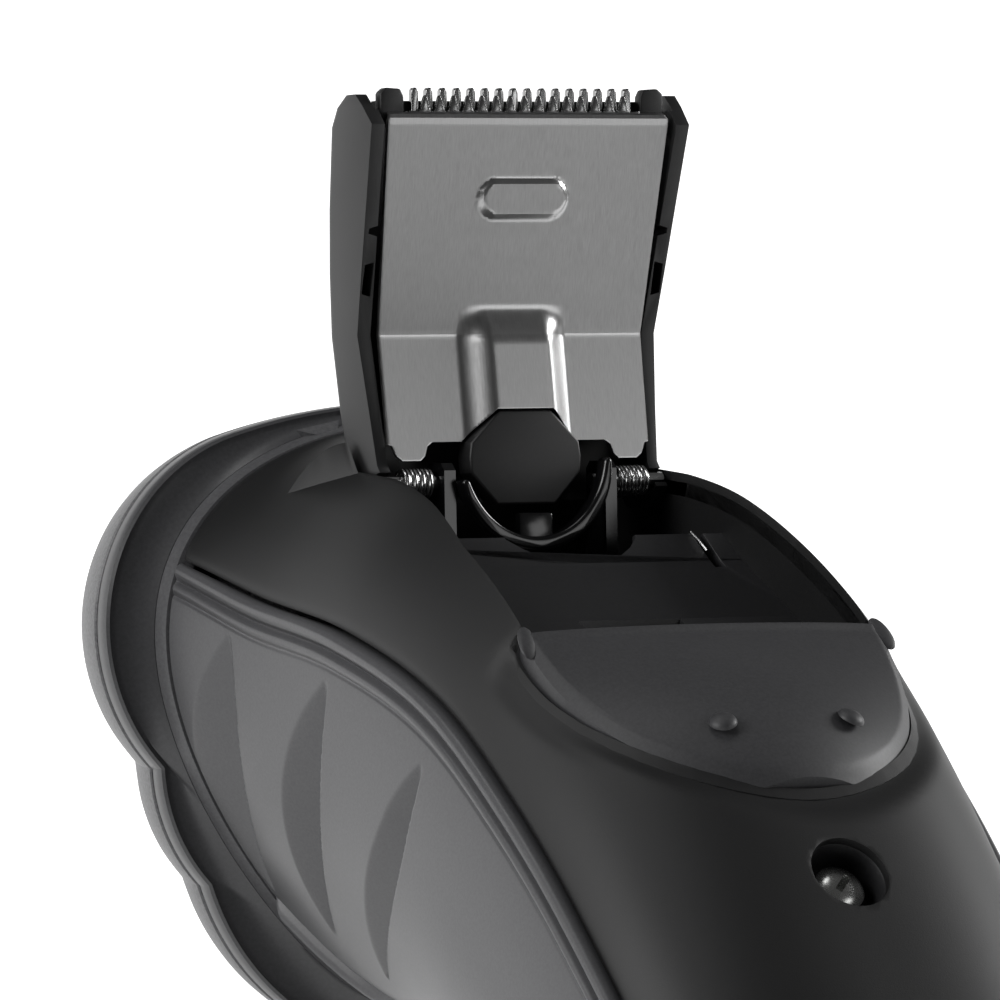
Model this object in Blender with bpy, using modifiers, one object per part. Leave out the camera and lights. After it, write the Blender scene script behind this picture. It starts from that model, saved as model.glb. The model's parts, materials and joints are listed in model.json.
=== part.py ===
"""Three-head rotary shaver with a flip-up long-hair trimmer, lying on its front.

Every point is first written in the hinge frame: millimetres, origin on the middle of the
trimmer's hinge axis, +X to the right seen from behind, +Y towards the shaving head, +Z up the
open trimmer.  One empty then tilts that frame so the shaver lies on its head rim and its tail.
"""
import math

import bmesh
import bpy
from mathutils import Matrix, Vector

MM = 0.001
NAME = "electric_shaver"
GAP = 0.35
LIE_TILT = -29.78

# Side view of the handle.  The back and the front line each leave the neck at a point and a
# slope (degrees below -Y) and run through pieces of (length, turn in degrees).
BACK_START = (19.8, 6.0)
BACK_SLOPE = 1.5
BACK_PIECES = ((18.5, 0.0), (50.0, 46.0), (95.5, 14.5))
FRONT_START = (19.8, -50.5)
FRONT_SLOPE = 5.0
FRONT_PIECES = ((110.0, 57.0),)
# Stations from the neck to the tail, as lengths along the back line and along the front line
BACK_STATIONS = (0, 15, 35, 55, 73, 91, 115, 140, 164)
FRONT_STATIONS = (0, 10, 20, 30, 42, 56, 73, 91, 110)
NECK_HALF = 26.4
TAIL_HALF = 22.2
NECK_WIDENING = 0.34
BODY_WIDENING = 0.2
NECK_SQUARENESS = 2.0
TAIL_SQUARENESS = 3.3
TAIL = len(BACK_STATIONS) - 1
SKIN = 1.8
SEAM = 0.5
# Angle of each grip's upper and lower edge round the section, one value per station
UPPER_EDGE = (57.0, 64.0, 66.0, 64.0, 62.5, 61.5, 60.0, 59.0, 58.0)
LOWER_EDGE = (133.0, 157.0, 156.0, 150.0, 142.0, 135.0, 128.0, 124.0, 122.0)
BEAD_HEIGHT = 0.9
NECK_START = 0.02

# Shaving head: half outline (x, z) from top to bottom, corners joined by arcs of these radii
HEAD_CORNERS = ((0.0, 8.0), (18.6, 5.3), (27.1, -26.7), (22.3, -38.0), (0.0, -54.4))
HEAD_RADII = (65.4, 19.2, 17.0, 23.4)
HEAD_STEPS = (8, 16, 5, 12)
CUP_BACK = 21.9
CUP_EDGE = 23.3
CUP_FRONT = 25.3
FRAME_BACK = 25.6
FRAME_FRONT = 32.6
FLOOR_SECTION = (
    (9.0, -8.4), (-7.9, -8.6), (-8.9, -5.2), (-12.6, -7.75), (-20.5, -12.95),
    (-31.0, -17.8), (-34.0, -21.5), (-34.0, -23.0), (-31.0, -19.4), (-20.5, -14.6),
    (-12.6, -9.4), (-10.3, -8.0), (-9.4, -10.1), (9.0, -9.9),
)
FLOOR_WIDTH = 29.6
FRAME_WALL = 3.0
FRAME_PROFILE = (
    (0.35, FRAME_BACK), (0.05, 25.95), (0.75, 29.0), (1.4, 31.0), (1.75, 32.1), (2.2, FRAME_FRONT),
)
CUTTER_CENTRES = {"left": (-16.5, -11.0), "right": (16.5, -11.0), "lower": (0.0, -38.0)}
DRIVE_CENTRE = (0.0, -19.5)
GUARD_RADIUS = 12.6
CUTTER_RADIUS = 9.6
HEAD_GEAR_RADIUS = 8.1
SUN_GEAR_RADIUS = 9.8

# Trimmer, in the open position
CLOSED_DIRECTION = Vector((0.0, -0.927, -0.375))
TRIM_SIDE = (
    (0.6, 1.8), (2.4, 14.0), (-3.4, 33.6), (-0.4, 36.5), (3.6, 35.6), (6.2, 33.0), (7.7, 26.0),
    (8.8, 14.0), (8.1, 4.0), (6.2, -1.2), (2.4, -3.2), (-1.6, -2.0), (-2.0, 0.4),
)
TRIM_FRONT = ((17.1, 36.6), (16.9, 33.6), (15.9, 14.0), (15.0, -4.0))
TRIM_POCKET = ((15.6, 33.0), (14.5, 14.0), (13.5, -6.0))
PLATE_LINE = ((0.35, 3.9), (1.7, 14.0), (-2.9, 34.0), (-2.8, 34.6))
PLATE_THICKNESS = 0.5
BLADE_SEAT = -0.6
TOOTH_PITCH = 1.51
STAMP = ((3.2, 1.85), (4.3, 1.3), (4.85, 0.0), (4.3, -1.3), (3.2, -1.85))
COMB_TEETH = 16
BLADE_TEETH = 15
PIN_RADIUS = 0.75
HOLE_RADIUS = 1.1

# Recess and button: x and distance down the back from the hinge
RECESS = (
    (15.6, -12.6), (15.6, 4.0), (16.6, 14.0), (17.6, 22.0), (18.0, 35.6), (19.2, 36.4),
)
EAR_CREST = ((19.4, 10.3, -0.5), (15.75, 5.1, 4.0))
EAR_BOW = 1.1
EAR_SECTIONS = 5
EAR_BACK_FOOT = ((19.5, 10.1, -1.2), (15.75, 2.7, 0.6))
EAR_HEAD_FOOT = ((19.6, 10.9, -1.2), (15.75, 9.4, 0.8))
BUTTON_START = 36.9
BUTTON_LENGTH = 24.2
BUTTON_HALF = 18.6
SCREW_STATION = 5.2
SCREW_HOLE_RADIUS = 3.75
POWER_STATION = 4.6
POWER_RADIUS = 4.9
LENS_STATION = 5.7
LENS_RADIUS = 1.25
INLET_RADIUS = 3.5
GEAR_SPAN = (23.4, 25.0)
CELL_MIDDLE = Vector((0.0, -56.5, -65.5))


def clear_scene():
    for old in list(bpy.data.objects):
        bpy.data.objects.remove(old, do_unlink=True)


def new_collection(name):
    group = bpy.data.collections.new(name)
    bpy.context.scene.collection.children.link(group)
    return group


def material(name, colour, roughness, metallic=0.0):
    made = bpy.data.materials.new(name)
    made.use_nodes = True
    shader = made.node_tree.nodes["Principled BSDF"]
    shader.inputs["Base Color"].default_value = (*colour, 1.0)
    shader.inputs["Roughness"].default_value = roughness
    shader.inputs["Metallic"].default_value = metallic
    return made


def weld(mesh):
    """Join doubled points and turn every face outwards."""
    fix = bmesh.new()
    fix.from_mesh(mesh)
    bmesh.ops.remove_doubles(fix, verts=fix.verts, dist=0.001 * MM)
    bmesh.ops.recalc_face_normals(fix, faces=fix.faces)
    fix.to_mesh(mesh)
    fix.free()


def mesh_object(name, vertices, faces, group):
    mesh = bpy.data.meshes.new(name)
    mesh.from_pydata([[c * MM for c in v] for v in vertices], [], faces)
    mesh.validate()
    weld(mesh)
    made = bpy.data.objects.new(name, mesh)
    group.objects.link(made)
    return made


def smooth_curve(values, t):
    """Value of a smooth curve through equally spaced values."""
    last = len(values) - 1
    i = min(max(int(math.floor(t)), 0), last - 1)
    f = t - i
    b = values[i]
    c = values[i + 1]
    a = values[i - 1] if i > 0 else 2 * b - c
    d = values[i + 2] if i < last - 1 else 2 * c - b
    slope = c - a
    bend = 2 * a - 5 * b + 4 * c - d
    twist = 3 * b - a - 3 * c + d
    return b + 0.5 * (slope * f + bend * f * f + twist * f ** 3)


def side_line(start, slope, pieces, length):
    """Point a length along a line of straight runs and arcs, in the side view (y, z)."""
    y, z = start
    for run, turn in pieces:
        part = min(length, run)
        half_turn = math.radians(turn * part / run / 2)
        middle = math.radians(slope) + half_turn
        chord = part * math.sin(half_turn) / half_turn if half_turn else part
        y -= chord * math.cos(middle)
        z -= chord * math.sin(middle)
        slope += turn * part / run
        length -= part
    return y, z


def station(number, back_length, front_length):
    """Section of the body: back y, z, front y, z, half width, widening to the back, squareness."""
    share = number / TAIL
    back = side_line(BACK_START, BACK_SLOPE, BACK_PIECES, back_length)
    front = side_line(FRONT_START, FRONT_SLOPE, FRONT_PIECES, front_length)
    half = NECK_HALF + (TAIL_HALF - NECK_HALF) * share
    widening = BODY_WIDENING * (1 - share) if number else NECK_WIDENING
    squareness = NECK_SQUARENESS + (TAIL_SQUARENESS - NECK_SQUARENESS) * share ** 2
    return (*back, *front, half, widening, squareness)


STATIONS = [station(number, *lengths) for number, lengths in enumerate(zip(BACK_STATIONS, FRONT_STATIONS))]


def body_point(t, angle):
    """Point on the outside of the body; angle 0 is the middle of the back."""
    row = [smooth_curve([s[k] for s in STATIONS], t) for k in range(7)]
    back_y, back_z, front_y, front_z, half, widening, power = row
    turn = math.radians(angle)
    cosine = math.cos(turn)
    sine = math.sin(turn)
    up = math.copysign(abs(cosine) ** (2 / power), cosine)
    out = math.copysign(abs(sine) ** (2 / power), sine)
    return Vector((
        half * out * (1 + widening * up),
        (back_y + front_y) / 2 + (back_y - front_y) / 2 * up,
        (back_z + front_z) / 2 + (back_z - front_z) / 2 * up,
    ))


def body_normal(t, angle):
    step = 0.02
    along = body_point(t + step, angle) - body_point(t - step, angle)
    turn = 1.0
    around = body_point(t, angle + turn) - body_point(t, angle - turn)
    return along.cross(around).normalized()


def skin_point(t, angle, height):
    return body_point(t, angle) + body_normal(t, angle) * height


def skin_patch(name, across, along, outer, group):
    """Closed slab that follows the body; across(t) gives the angles of one row."""
    vertices = []
    faces = []
    rows = [NECK_START + (TAIL - NECK_START) * i / along for i in range(along + 1)]
    for t in rows:
        for share, angle in across(t):
            vertices.append(skin_point(t, angle, outer(share)))
    wide = len(across(rows[0]))
    top = len(vertices)
    for t in rows:
        for share, angle in across(t):
            vertices.append(skin_point(t, angle, -SKIN))
    for i in range(along):
        for j in range(wide - 1):
            a = i * wide + j
            faces.append((a, a + 1, a + wide + 1, a + wide))
            faces.append((top + a, top + a + wide, top + a + wide + 1, top + a + 1))
        a = i * wide
        faces.append((a, a + wide, top + a + wide, top + a))
        a = i * wide + wide - 1
        faces.append((a, top + a, top + a + wide, a + wide))
    for j in range(wide - 1):
        faces.append((j, top + j, top + j + 1, j + 1))
        a = along * wide + j
        faces.append((a, a + 1, top + a + 1, top + a))
    return mesh_object(name, vertices, faces, group)


def ring_loft(name, rings, group, closed_tube=False):
    """Loft through rings of equal length; the ends are capped unless it closes on itself."""
    count = len(rings[0])
    vertices = [point for ring in rings for point in ring]
    faces = []
    spans = len(rings) if closed_tube else len(rings) - 1
    for i in range(spans):
        low = i * count
        high = (i + 1) % len(rings) * count
        for j in range(count):
            k = (j + 1) % count
            faces.append((low + j, low + k, high + k, high + j))
    if not closed_tube:
        faces.append(tuple(range(count)))
        faces.append(tuple(range(len(vertices) - count, len(vertices))))
    return mesh_object(name, vertices, faces, group)


def flat_shape(name, outline, thickness, group, holes=()):
    """Flat piece cut from sheet: closed outline in local X and Y, thickness along Z."""
    drawing = bpy.data.curves.new(name + "_outline", "CURVE")
    drawing.dimensions = "2D"
    drawing.fill_mode = "BOTH"
    drawing.extrude = thickness / 2 * MM
    for line in (outline, *holes):
        spline = drawing.splines.new("POLY")
        spline.points.add(len(line) - 1)
        for point, (x, y) in zip(spline.points, line):
            point.co = (x * MM, y * MM, 0.0, 1.0)
        spline.use_cyclic_u = True
    drawn = bpy.data.objects.new(name + "_drawing", drawing)
    mesh = bpy.data.meshes.new_from_object(drawn)
    bpy.data.objects.remove(drawn, do_unlink=True)
    weld(mesh)
    made = bpy.data.objects.new(name, mesh)
    group.objects.link(made)
    return made


def turned(name, profile, steps, group):
    """Piece turned on a lathe: (radius, height) pairs down the outer side, axis along Z."""
    mesh = bpy.data.meshes.new(name)
    points = [(r * MM, 0.0, z * MM) for r, z in profile]
    edges = [(i, i + 1) for i in range(len(points) - 1)]
    if profile[0] == profile[-1]:
        points.pop()
        edges[-1] = (len(points) - 1, 0)
    mesh.from_pydata(points, edges, [])
    made = bpy.data.objects.new(name, mesh)
    group.objects.link(made)
    screw = made.modifiers.new("Turn", "SCREW")
    screw.steps = steps
    screw.render_steps = steps
    screw.use_merge_vertices = True
    screw.merge_threshold = 0.00001
    return made


def rod(name, radius, top, bottom, steps, group):
    """Plain round bar along Z, or the drill that makes a round hole."""
    return turned(name, ((0, top), (radius, top), (radius, bottom), (0, bottom)), steps, group)


def place(piece, position, x_axis=(1, 0, 0), z_axis=(0, 0, 1)):
    """Put a piece at a point in millimetres with its own X and Z along the given directions."""
    along = Vector(x_axis).normalized()
    up = Vector(z_axis).normalized()
    turn = Matrix((along, up.cross(along), up)).transposed()
    piece.rotation_euler = turn.to_euler()
    piece.location = Vector(position) * MM


SIDE = {"x_axis": (0, 1, 0), "z_axis": (1, 0, 0)}
FACE = {"x_axis": (1, 0, 0), "z_axis": (0, -1, 0)}
BACK = {"x_axis": (1, 0, 0), "z_axis": (0, 0.375, -0.927)}


def finish(piece, colour):
    piece.data.materials.clear()
    piece.data.materials.append(colour)


def combine(piece, other, operation):
    """Boolean with an exact solver; a cutter stays hidden, a joined piece is absorbed."""
    step = piece.modifiers.new(operation.title(), "BOOLEAN")
    step.operation = operation
    step.solver = "EXACT"
    step.object = other
    other.hide_render = True
    other.display_type = "WIRE"


def disc(radius, count):
    turns = [2 * math.pi * i / count for i in range(count)]
    return [(radius * math.cos(a), radius * math.sin(a)) for a in turns]


def mirrored(half):
    """Closed outline from its right half, listed from top to bottom."""
    left = [(-x, z) for x, z in reversed(half) if x > 0.001]
    return list(half) + left


def arc_to(start, end, radius, steps):
    """Points from start up to, but without, end on an arc that turns clockwise in x, z."""
    dx = end[0] - start[0]
    dz = end[1] - start[1]
    chord = math.hypot(dx, dz)
    half = math.asin(chord / 2 / radius)
    depth = radius * math.cos(half) / chord
    x = (start[0] + end[0]) / 2 + dz * depth
    z = (start[1] + end[1]) / 2 - dx * depth
    first = math.atan2(start[1] - z, start[0] - x)
    turns = [first - 2 * half * k / steps for k in range(steps)]
    return [(x + radius * math.cos(a), z + radius * math.sin(a)) for a in turns]


def head_outline(inset):
    """Head outline moved inwards by a distance, clockwise from the top."""
    points = []
    for i, (radius, steps) in enumerate(zip(HEAD_RADII, HEAD_STEPS)):
        points += arc_to(HEAD_CORNERS[i], HEAD_CORNERS[i + 1], radius, steps)
    ring = mirrored(points + [HEAD_CORNERS[-1]])
    moved = []
    for i, (x, z) in enumerate(ring):
        before = ring[i - 1]
        after = ring[(i + 1) % len(ring)]
        dx = after[0] - before[0]
        dz = after[1] - before[1]
        size = math.hypot(dx, dz)
        moved.append((x + dz / size * inset, z - dx / size * inset))
    return moved


def head_ring(inset, y):
    return [(x, y, z) for x, z in head_outline(inset)]


def neck_ring(inset, y):
    """Ring on the neck section with as many points as the head outline."""
    count = len(head_outline(0.0))
    ring = []
    for i in range(count):
        point = body_point(0.0, 360.0 * i / count)
        out = Vector((point.x, 0.0, point.z + 22.0)).normalized()
        ring.append((point.x - out.x * inset, y, point.z - out.z * inset))
    return ring


# ---------------------------------------------------------------- body shells

def back_row(t):
    edge = smooth_curve(UPPER_EDGE, t) - SEAM
    return [(j / 14, -edge + 2 * edge * j / 14) for j in range(15)]


def front_row(t):
    edge = smooth_curve(LOWER_EDGE, t) + SEAM
    return [(j / 10, edge + (360 - 2 * edge) * j / 10) for j in range(11)]


GRIP_SHARES = (0.0, 0.035, 0.08, 0.12, 0.17, 0.3, 0.45, 0.6, 0.75, 0.9, 0.94, 1.0)
GRIP_HEIGHTS = (0.11, 1.0, 1.0, 0.06, 0.39, 0.0, 0.0, 0.0, 0.0, 0.0, 0.78, 0.11)


def grip_row(t, side):
    top = smooth_curve(UPPER_EDGE, t)
    low = smooth_curve(LOWER_EDGE, t)
    return [(s, side * (top + (low - top) * s)) for s in GRIP_SHARES]


def grip_height(share):
    """Rounded bead along the upper edge with a groove below it, a small one along the lower."""
    return GRIP_HEIGHTS[GRIP_SHARES.index(share)] * BEAD_HEIGHT


def back_frame_outline():
    """Opening in the back for the trimmer recess and the button below it."""
    right = list(RECESS)
    for i in range(9):
        turn = math.pi / 2 * i / 8
        x = (BUTTON_HALF + 0.6) * math.cos(turn)
        right.append((x, BUTTON_START + 1.2 + (BUTTON_LENGTH - 0.6) * math.sin(turn)))
    return mirrored(right)


def surface_place(piece, t, angle, height):
    """Stand a piece on the body with its Z along the outward normal."""
    normal = body_normal(t, angle)
    place(piece, skin_point(t, angle, height), (1, 0, 0), normal)


def ear_rings(side):
    """Triangular sections of the ear that rises from the shell beside the hinge."""
    rings = []
    for i in range(EAR_SECTIONS):
        share = i / (EAR_SECTIONS - 1)
        back, crest, head = (Vector(a).lerp(Vector(b), share)
                             for a, b in (EAR_BACK_FOOT, EAR_CREST, EAR_HEAD_FOOT))
        crest.z += 4 * EAR_BOW * share * (1 - share)
        rings.append([Vector((side * point.x, point.y, point.z)) for point in (back, crest, head)])
    return rings


def back_shell(parts, cutters, paint):
    shell = skin_patch("back_shell", back_row, 22, lambda share: 0.0, parts)
    for side, word in ((-1, "left"), (1, "right")):
        ear = ring_loft("hinge_ear_" + word, ear_rings(side), cutters)
        combine(shell, ear, "UNION")
    opening = flat_shape("recess_opening", back_frame_outline(), 26.0, cutters)
    place(opening, (0, 0, 0), **BACK)
    combine(shell, opening, "DIFFERENCE")
    hole = rod("screw_opening", SCREW_HOLE_RADIUS, 6, -6, 24, cutters)
    surface_place(hole, SCREW_STATION, 0.0, 0.0)
    combine(shell, hole, "DIFFERENCE")
    finish(shell, paint["back"])
    return shell


def front_shell(parts, cutters, paint):
    shell = skin_patch("front_shell", front_row, 20, lambda share: 0.0, parts)
    for name, t, radius in (("power_opening", POWER_STATION, POWER_RADIUS + 0.5),
                            ("lens_opening", LENS_STATION, LENS_RADIUS + GAP)):
        hole = rod(name, radius, 5, -5, 24, cutters)
        surface_place(hole, t, 180.0, 0.0)
        combine(shell, hole, "DIFFERENCE")
    finish(shell, paint["front"])
    return shell


def grips(parts, paint):
    for side, name in ((-1, "left_grip_panel"), (1, "right_grip_panel")):
        grip = skin_patch(name, lambda t, s=side: grip_row(t, s), 20, grip_height, parts)
        finish(grip, paint["grip"])


def neck_and_tail(parts, cutters, paint):
    section = ((-0.5, 20.1), (-0.8, 20.6), (-0.7, 21.5), (1.6, 21.5), (1.6, 20.1))
    rings = [neck_ring(inset, y) for inset, y in section]
    collar = ring_loft("neck_collar", rings, parts, closed_tube=True)
    finish(collar, paint["collar"])
    end = [body_point(TAIL, 360 * i / 40) for i in range(40)]
    middle = sum(end, Vector()) / len(end)
    axis = (body_point(TAIL, 0) - body_point(TAIL - 0.3, 0) + body_point(TAIL, 180)
            - body_point(TAIL - 0.3, 180)).normalized()
    rings = []
    for along, scale in ((GAP, 0.985), (3.0, 0.965), (5.2, 0.9), (6.4, 0.78)):
        rings.append([middle + (point - middle) * scale + axis * along for point in end])
    cap = ring_loft("tail_cap", rings, parts)
    socket_hole = rod("inlet_opening", INLET_RADIUS + 0.4, 9, -3, 24, cutters)
    place(socket_hole, middle, (1, 0, 0), axis)
    combine(cap, socket_hole, "DIFFERENCE")
    finish(cap, paint["front"])
    inlet = turned("charge_inlet", ((0, 1.6), (1.0, 1.6), (1.0, 5.2), (INLET_RADIUS, 5.2),
                                    (INLET_RADIUS, -2.4), (0, -2.4)), 24, parts)
    place(inlet, middle, (1, 0, 0), axis)
    finish(inlet, paint["inner"])
    for side, name in ((-1, "inlet_pin_left"), (1, "inlet_pin_right")):
        pin = rod(name, 0.25, 4.6, 1.95, 8, parts)
        place(pin, middle + Vector((side * 0.5, 0, 0)), (1, 0, 0), axis)
        finish(pin, paint["steel"])


# ---------------------------------------------------------------- recess and button

def recess_floor(parts, paint):
    tray = flat_shape("recess_floor", FLOOR_SECTION, FLOOR_WIDTH, parts)
    place(tray, (0, 0, 0), **SIDE)
    finish(tray, paint["inner"])
    for side, word in ((-1, "left"), (1, "right")):
        ear = ((-1.9, 1.2), (-1.2, 1.9), (1.2, 1.9), (1.9, 1.2), (1.9, -8.2), (-1.9, -8.2))
        post = flat_shape("hinge_post_" + word, ear, 1.2, parts, holes=(disc(HOLE_RADIUS, 12),))
        place(post, (side * 8.6, 0, 0), **SIDE)
        finish(post, paint["inner"])
        pin = rod("hinge_pin_" + word, PIN_RADIUS, 3.8, -3.8, 12, parts)
        place(pin, (side * 11.2, 0, 0), (0, 1, 0), (1, 0, 0))
        finish(pin, paint["steel"])
        coil("trimmer_spring_" + word, side * 9.75, side * 13.1, parts, paint)


def coil(name, start, end, parts, paint):
    """Torsion spring wound round the hinge pin, as a bent round wire."""
    turns = 6
    steps = turns * 10
    wire = bpy.data.curves.new(name + "_wire", "CURVE")
    wire.dimensions = "3D"
    wire.bevel_depth = 0.2 * MM
    wire.bevel_resolution = 0
    wire.use_fill_caps = True
    line = wire.splines.new("POLY")
    line.points.add(steps)
    for i, point in enumerate(line.points):
        turn = 2 * math.pi * i / 10
        x = start + (end - start) * i / steps
        point.co = (x * MM, 1.32 * math.cos(turn) * MM, 1.32 * math.sin(turn) * MM, 1.0)
    made = bpy.data.objects.new(name, wire)
    mesh = bpy.data.meshes.new_from_object(made)
    bpy.data.objects.remove(made, do_unlink=True)
    weld(mesh)
    spring = bpy.data.objects.new(name, mesh)
    parts.objects.link(spring)
    finish(spring, paint["steel"])


def drive_fork(parts, paint):
    """Curved fork that carries the motor's shake to the trimmer's drive block."""
    fork = ((-7.4, -6.9), (-6.8, -3.2), (-4.6, -3.9), (-3.0, -5.4), (3.0, -5.4), (4.6, -3.9),
            (6.8, -3.2), (7.4, -6.9))
    claw = flat_shape("drive_fork", fork, 1.6, parts)
    place(claw, (0, -2.2, 0), **FACE)
    finish(claw, paint["inner"])


def button_height(x, along):
    crown = 0.4
    if along > 42:
        crown -= 5.8 * ((along - 42) / 19) ** 3
    return crown - 0.00113 * (along - BUTTON_START) * x * x


def button_point(x, along, lift):
    n = Vector((0, -0.375, 0.927))
    return Vector((x, 0, 0)) + CLOSED_DIRECTION * along + n * (button_height(x, along) + lift)


def release_button(parts, paint):
    """Half-moon button: a straight front edge and a rounded lower edge, curved face."""
    wide = 12
    rows = 8
    vertices = []
    faces = []
    for lift in (0.0, -1.6):
        for i in range(rows + 1):
            along = BUTTON_START + 0.3 + BUTTON_LENGTH * (1 - math.cos(math.pi / 2 * i / rows)) * 0.97
            share = (along - BUTTON_START - 0.3) / BUTTON_LENGTH
            half = BUTTON_HALF * math.sqrt(1 - share * share)
            for j in range(wide + 1):
                x = half * math.sin(math.pi / 2 * (2 * j / wide - 1))
                vertices.append(button_point(x, along, lift))
    row = wide + 1
    top = row * (rows + 1)
    for i in range(rows):
        for j in range(wide):
            a = i * row + j
            faces.append((a, a + 1, a + row + 1, a + row))
            faces.append((top + a, top + a + row, top + a + row + 1, top + a + 1))
        for a in (i * row, i * row + wide):
            faces.append((a, a + row, top + a + row, top + a))
    for j in range(wide):
        for a in (j, rows * row + j):
            faces.append((a, a + 1, top + a + 1, top + a))
    button = mesh_object("release_button", vertices, faces, parts)
    finish(button, paint["button"])
    for side, word in ((-1, "left"), (1, "right")):
        dot = turned("button_dot_" + word, ((0, 0.75), (0.7, 0.6), (1.2, 0.2), (1.2, 0.0), (0, 0.0)),
                     16, parts)
        place(dot, button_point(side * 6.6, 54.2, 0.25), (1, 0, 0), (side * 0.24, -0.48, 0.86))
        finish(dot, paint["button"])
    spring = rod("button_spring", 2.0, 1.4, -1.4, 16, parts)
    place(spring, button_point(0, 47, -5.4), (1, 0, 0), (0, -0.375, 0.927))
    finish(spring, paint["steel"])


def rear_screw(parts, cutters, paint):
    well = turned("screw_well", ((0, -4.6), (3.55, -4.6), (3.55, -2.1), (4.6, -2.1), (4.6, -6.0),
                                 (0, -6.0)), 24, parts)
    surface_place(well, SCREW_STATION, 0.0, 0.0)
    finish(well, paint["inner"])
    screw = turned("rear_screw", ((0, -2.2), (1.3, -2.25), (2.2, -2.8), (2.2, -4.2), (0, -4.2)),
                   24, parts)
    surface_place(screw, SCREW_STATION, 0.0, 0.0)
    for number, (x, y) in enumerate(((1.4, 0.3), (0.3, 1.4))):
        corners = ((-x, -y), (x, -y), (x, y), (-x, y))
        slot = flat_shape("screw_slot_%d" % number, corners, 1.6, cutters)
        surface_place(slot, SCREW_STATION, 0.0, -2.4)
        combine(screw, slot, "DIFFERENCE")
    finish(screw, paint["steel"])


# ---------------------------------------------------------------- trimmer

def trimmer_cover(parts, cutters, paint):
    cover = flat_shape("trimmer_cover", TRIM_SIDE, 34.2, parts)
    place(cover, (0, 0, 0), **SIDE)
    taper = flat_shape("cover_taper", mirrored(TRIM_FRONT), 40.0, cutters)
    place(taper, (0, 0, 0), **FACE)
    combine(cover, taper, "INTERSECT")
    pocket = flat_shape("cover_pocket", mirrored(TRIM_POCKET), 14.0, cutters)
    place(pocket, (0, -1.2, 0), **FACE)
    combine(cover, pocket, "DIFFERENCE")
    seat = flat_shape("blade_seat", mirrored(((15.6, 38.0), (15.6, 32.0))), 6.0, cutters)
    place(seat, (0, BLADE_SEAT - 3.0, 0), **FACE)
    combine(cover, seat, "DIFFERENCE")
    drill = rod("hinge_bore", HOLE_RADIUS, 20, -20, 16, cutters)
    place(drill, (0, 0, 0), (0, 1, 0), (1, 0, 0))
    combine(cover, drill, "DIFFERENCE")
    finish(cover, paint["back"])


def trimmer_plate(parts, cutters, paint):
    front = list(PLATE_LINE)
    back = [(y + PLATE_THICKNESS, z - 0.1) for y, z in reversed(front)]
    plate = flat_shape("trimmer_plate", front + back, 30.0, parts)
    place(plate, (0, 0, 0), **SIDE)
    taper = flat_shape("plate_taper", mirrored(((14.95, 35.0), (14.8, 33.5), (14.0, 14.0), (13.9, 3.0))),
                       20.0, cutters)
    place(taper, (0, 0, 0), **FACE)
    combine(plate, taper, "INTERSECT")
    raised = ((-1.2, 3.0), (-0.9, 12.5), (1.2, 16.4), (1.9, 14.2), (0.5, 3.0))
    channel = flat_shape("plate_channel", raised, 8.0, cutters)
    place(channel, (0, 0, 0), **SIDE)
    combine(plate, channel, "UNION")
    stamp = flat_shape("plate_stamp", mirrored(STAMP), 1.0, cutters)
    place(stamp, (0, -1.32, 26.7), (1, 0, 0), (0, -0.975, -0.224))
    combine(plate, stamp, "UNION")
    notch = flat_shape("plate_notch", mirrored(((3.1, 7.2), (6.2, 4.1), (6.2, 2.0))), 20.0, cutters)
    place(notch, (0, 0, 0), **FACE)
    combine(plate, notch, "DIFFERENCE")
    finish(plate, paint["steel"])


def toothed(count, root, tip, half_root, half_tip, low, left, right):
    """Outline of a bar with a row of teeth along its top edge."""
    points = [(left, low), (left, root)]
    first = -(count - 1) / 2 * TOOTH_PITCH
    for i in range(count):
        x = first + i * TOOTH_PITCH
        points += [(x - half_root, root), (x - half_tip, tip), (x + half_tip, tip), (x + half_root, root)]
    points += [(right, root), (right, low)]
    return points


def trimmer_blades(parts, paint):
    comb_line = toothed(COMB_TEETH, 35.2, 37.2, 0.42, 0.3, 33.6, -15.2, 15.2)
    comb = flat_shape("trimmer_comb", comb_line, 0.5, parts)
    place(comb, (0, -1.2, 0), **FACE)
    finish(comb, paint["steel"])
    for side, word in ((-1, "left"), (1, "right")):
        block = flat_shape("comb_end_" + word, ((-1.3, 35.5), (-1.3, 36.6), (-0.9, 37.1), (0.9, 37.1),
                                                (1.3, 36.6), (1.3, 35.5)), 0.5, parts)
        place(block, (side * 13.9, -1.2, 0.05), **FACE)
        finish(block, paint["steel"])
    blade_line = toothed(BLADE_TEETH, 35.0, 36.5, 0.55, 0.18, 34.2, -12.4, 12.4)
    blade = flat_shape("trimmer_blade", blade_line, 0.3, parts)
    place(blade, (0, -1.95, 0), **FACE)
    finish(blade, paint["steel"])


def drive_block(parts, paint):
    line = mirrored(((2.75, 6.8), (5.75, 3.8), (5.75, 1.0), (3.1, -2.1)))
    block = flat_shape("drive_block", line, 2.6, parts)
    place(block, (0, 0.3, 0), **FACE)
    finish(block, paint["inner"])


# ---------------------------------------------------------------- shaving head

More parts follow.
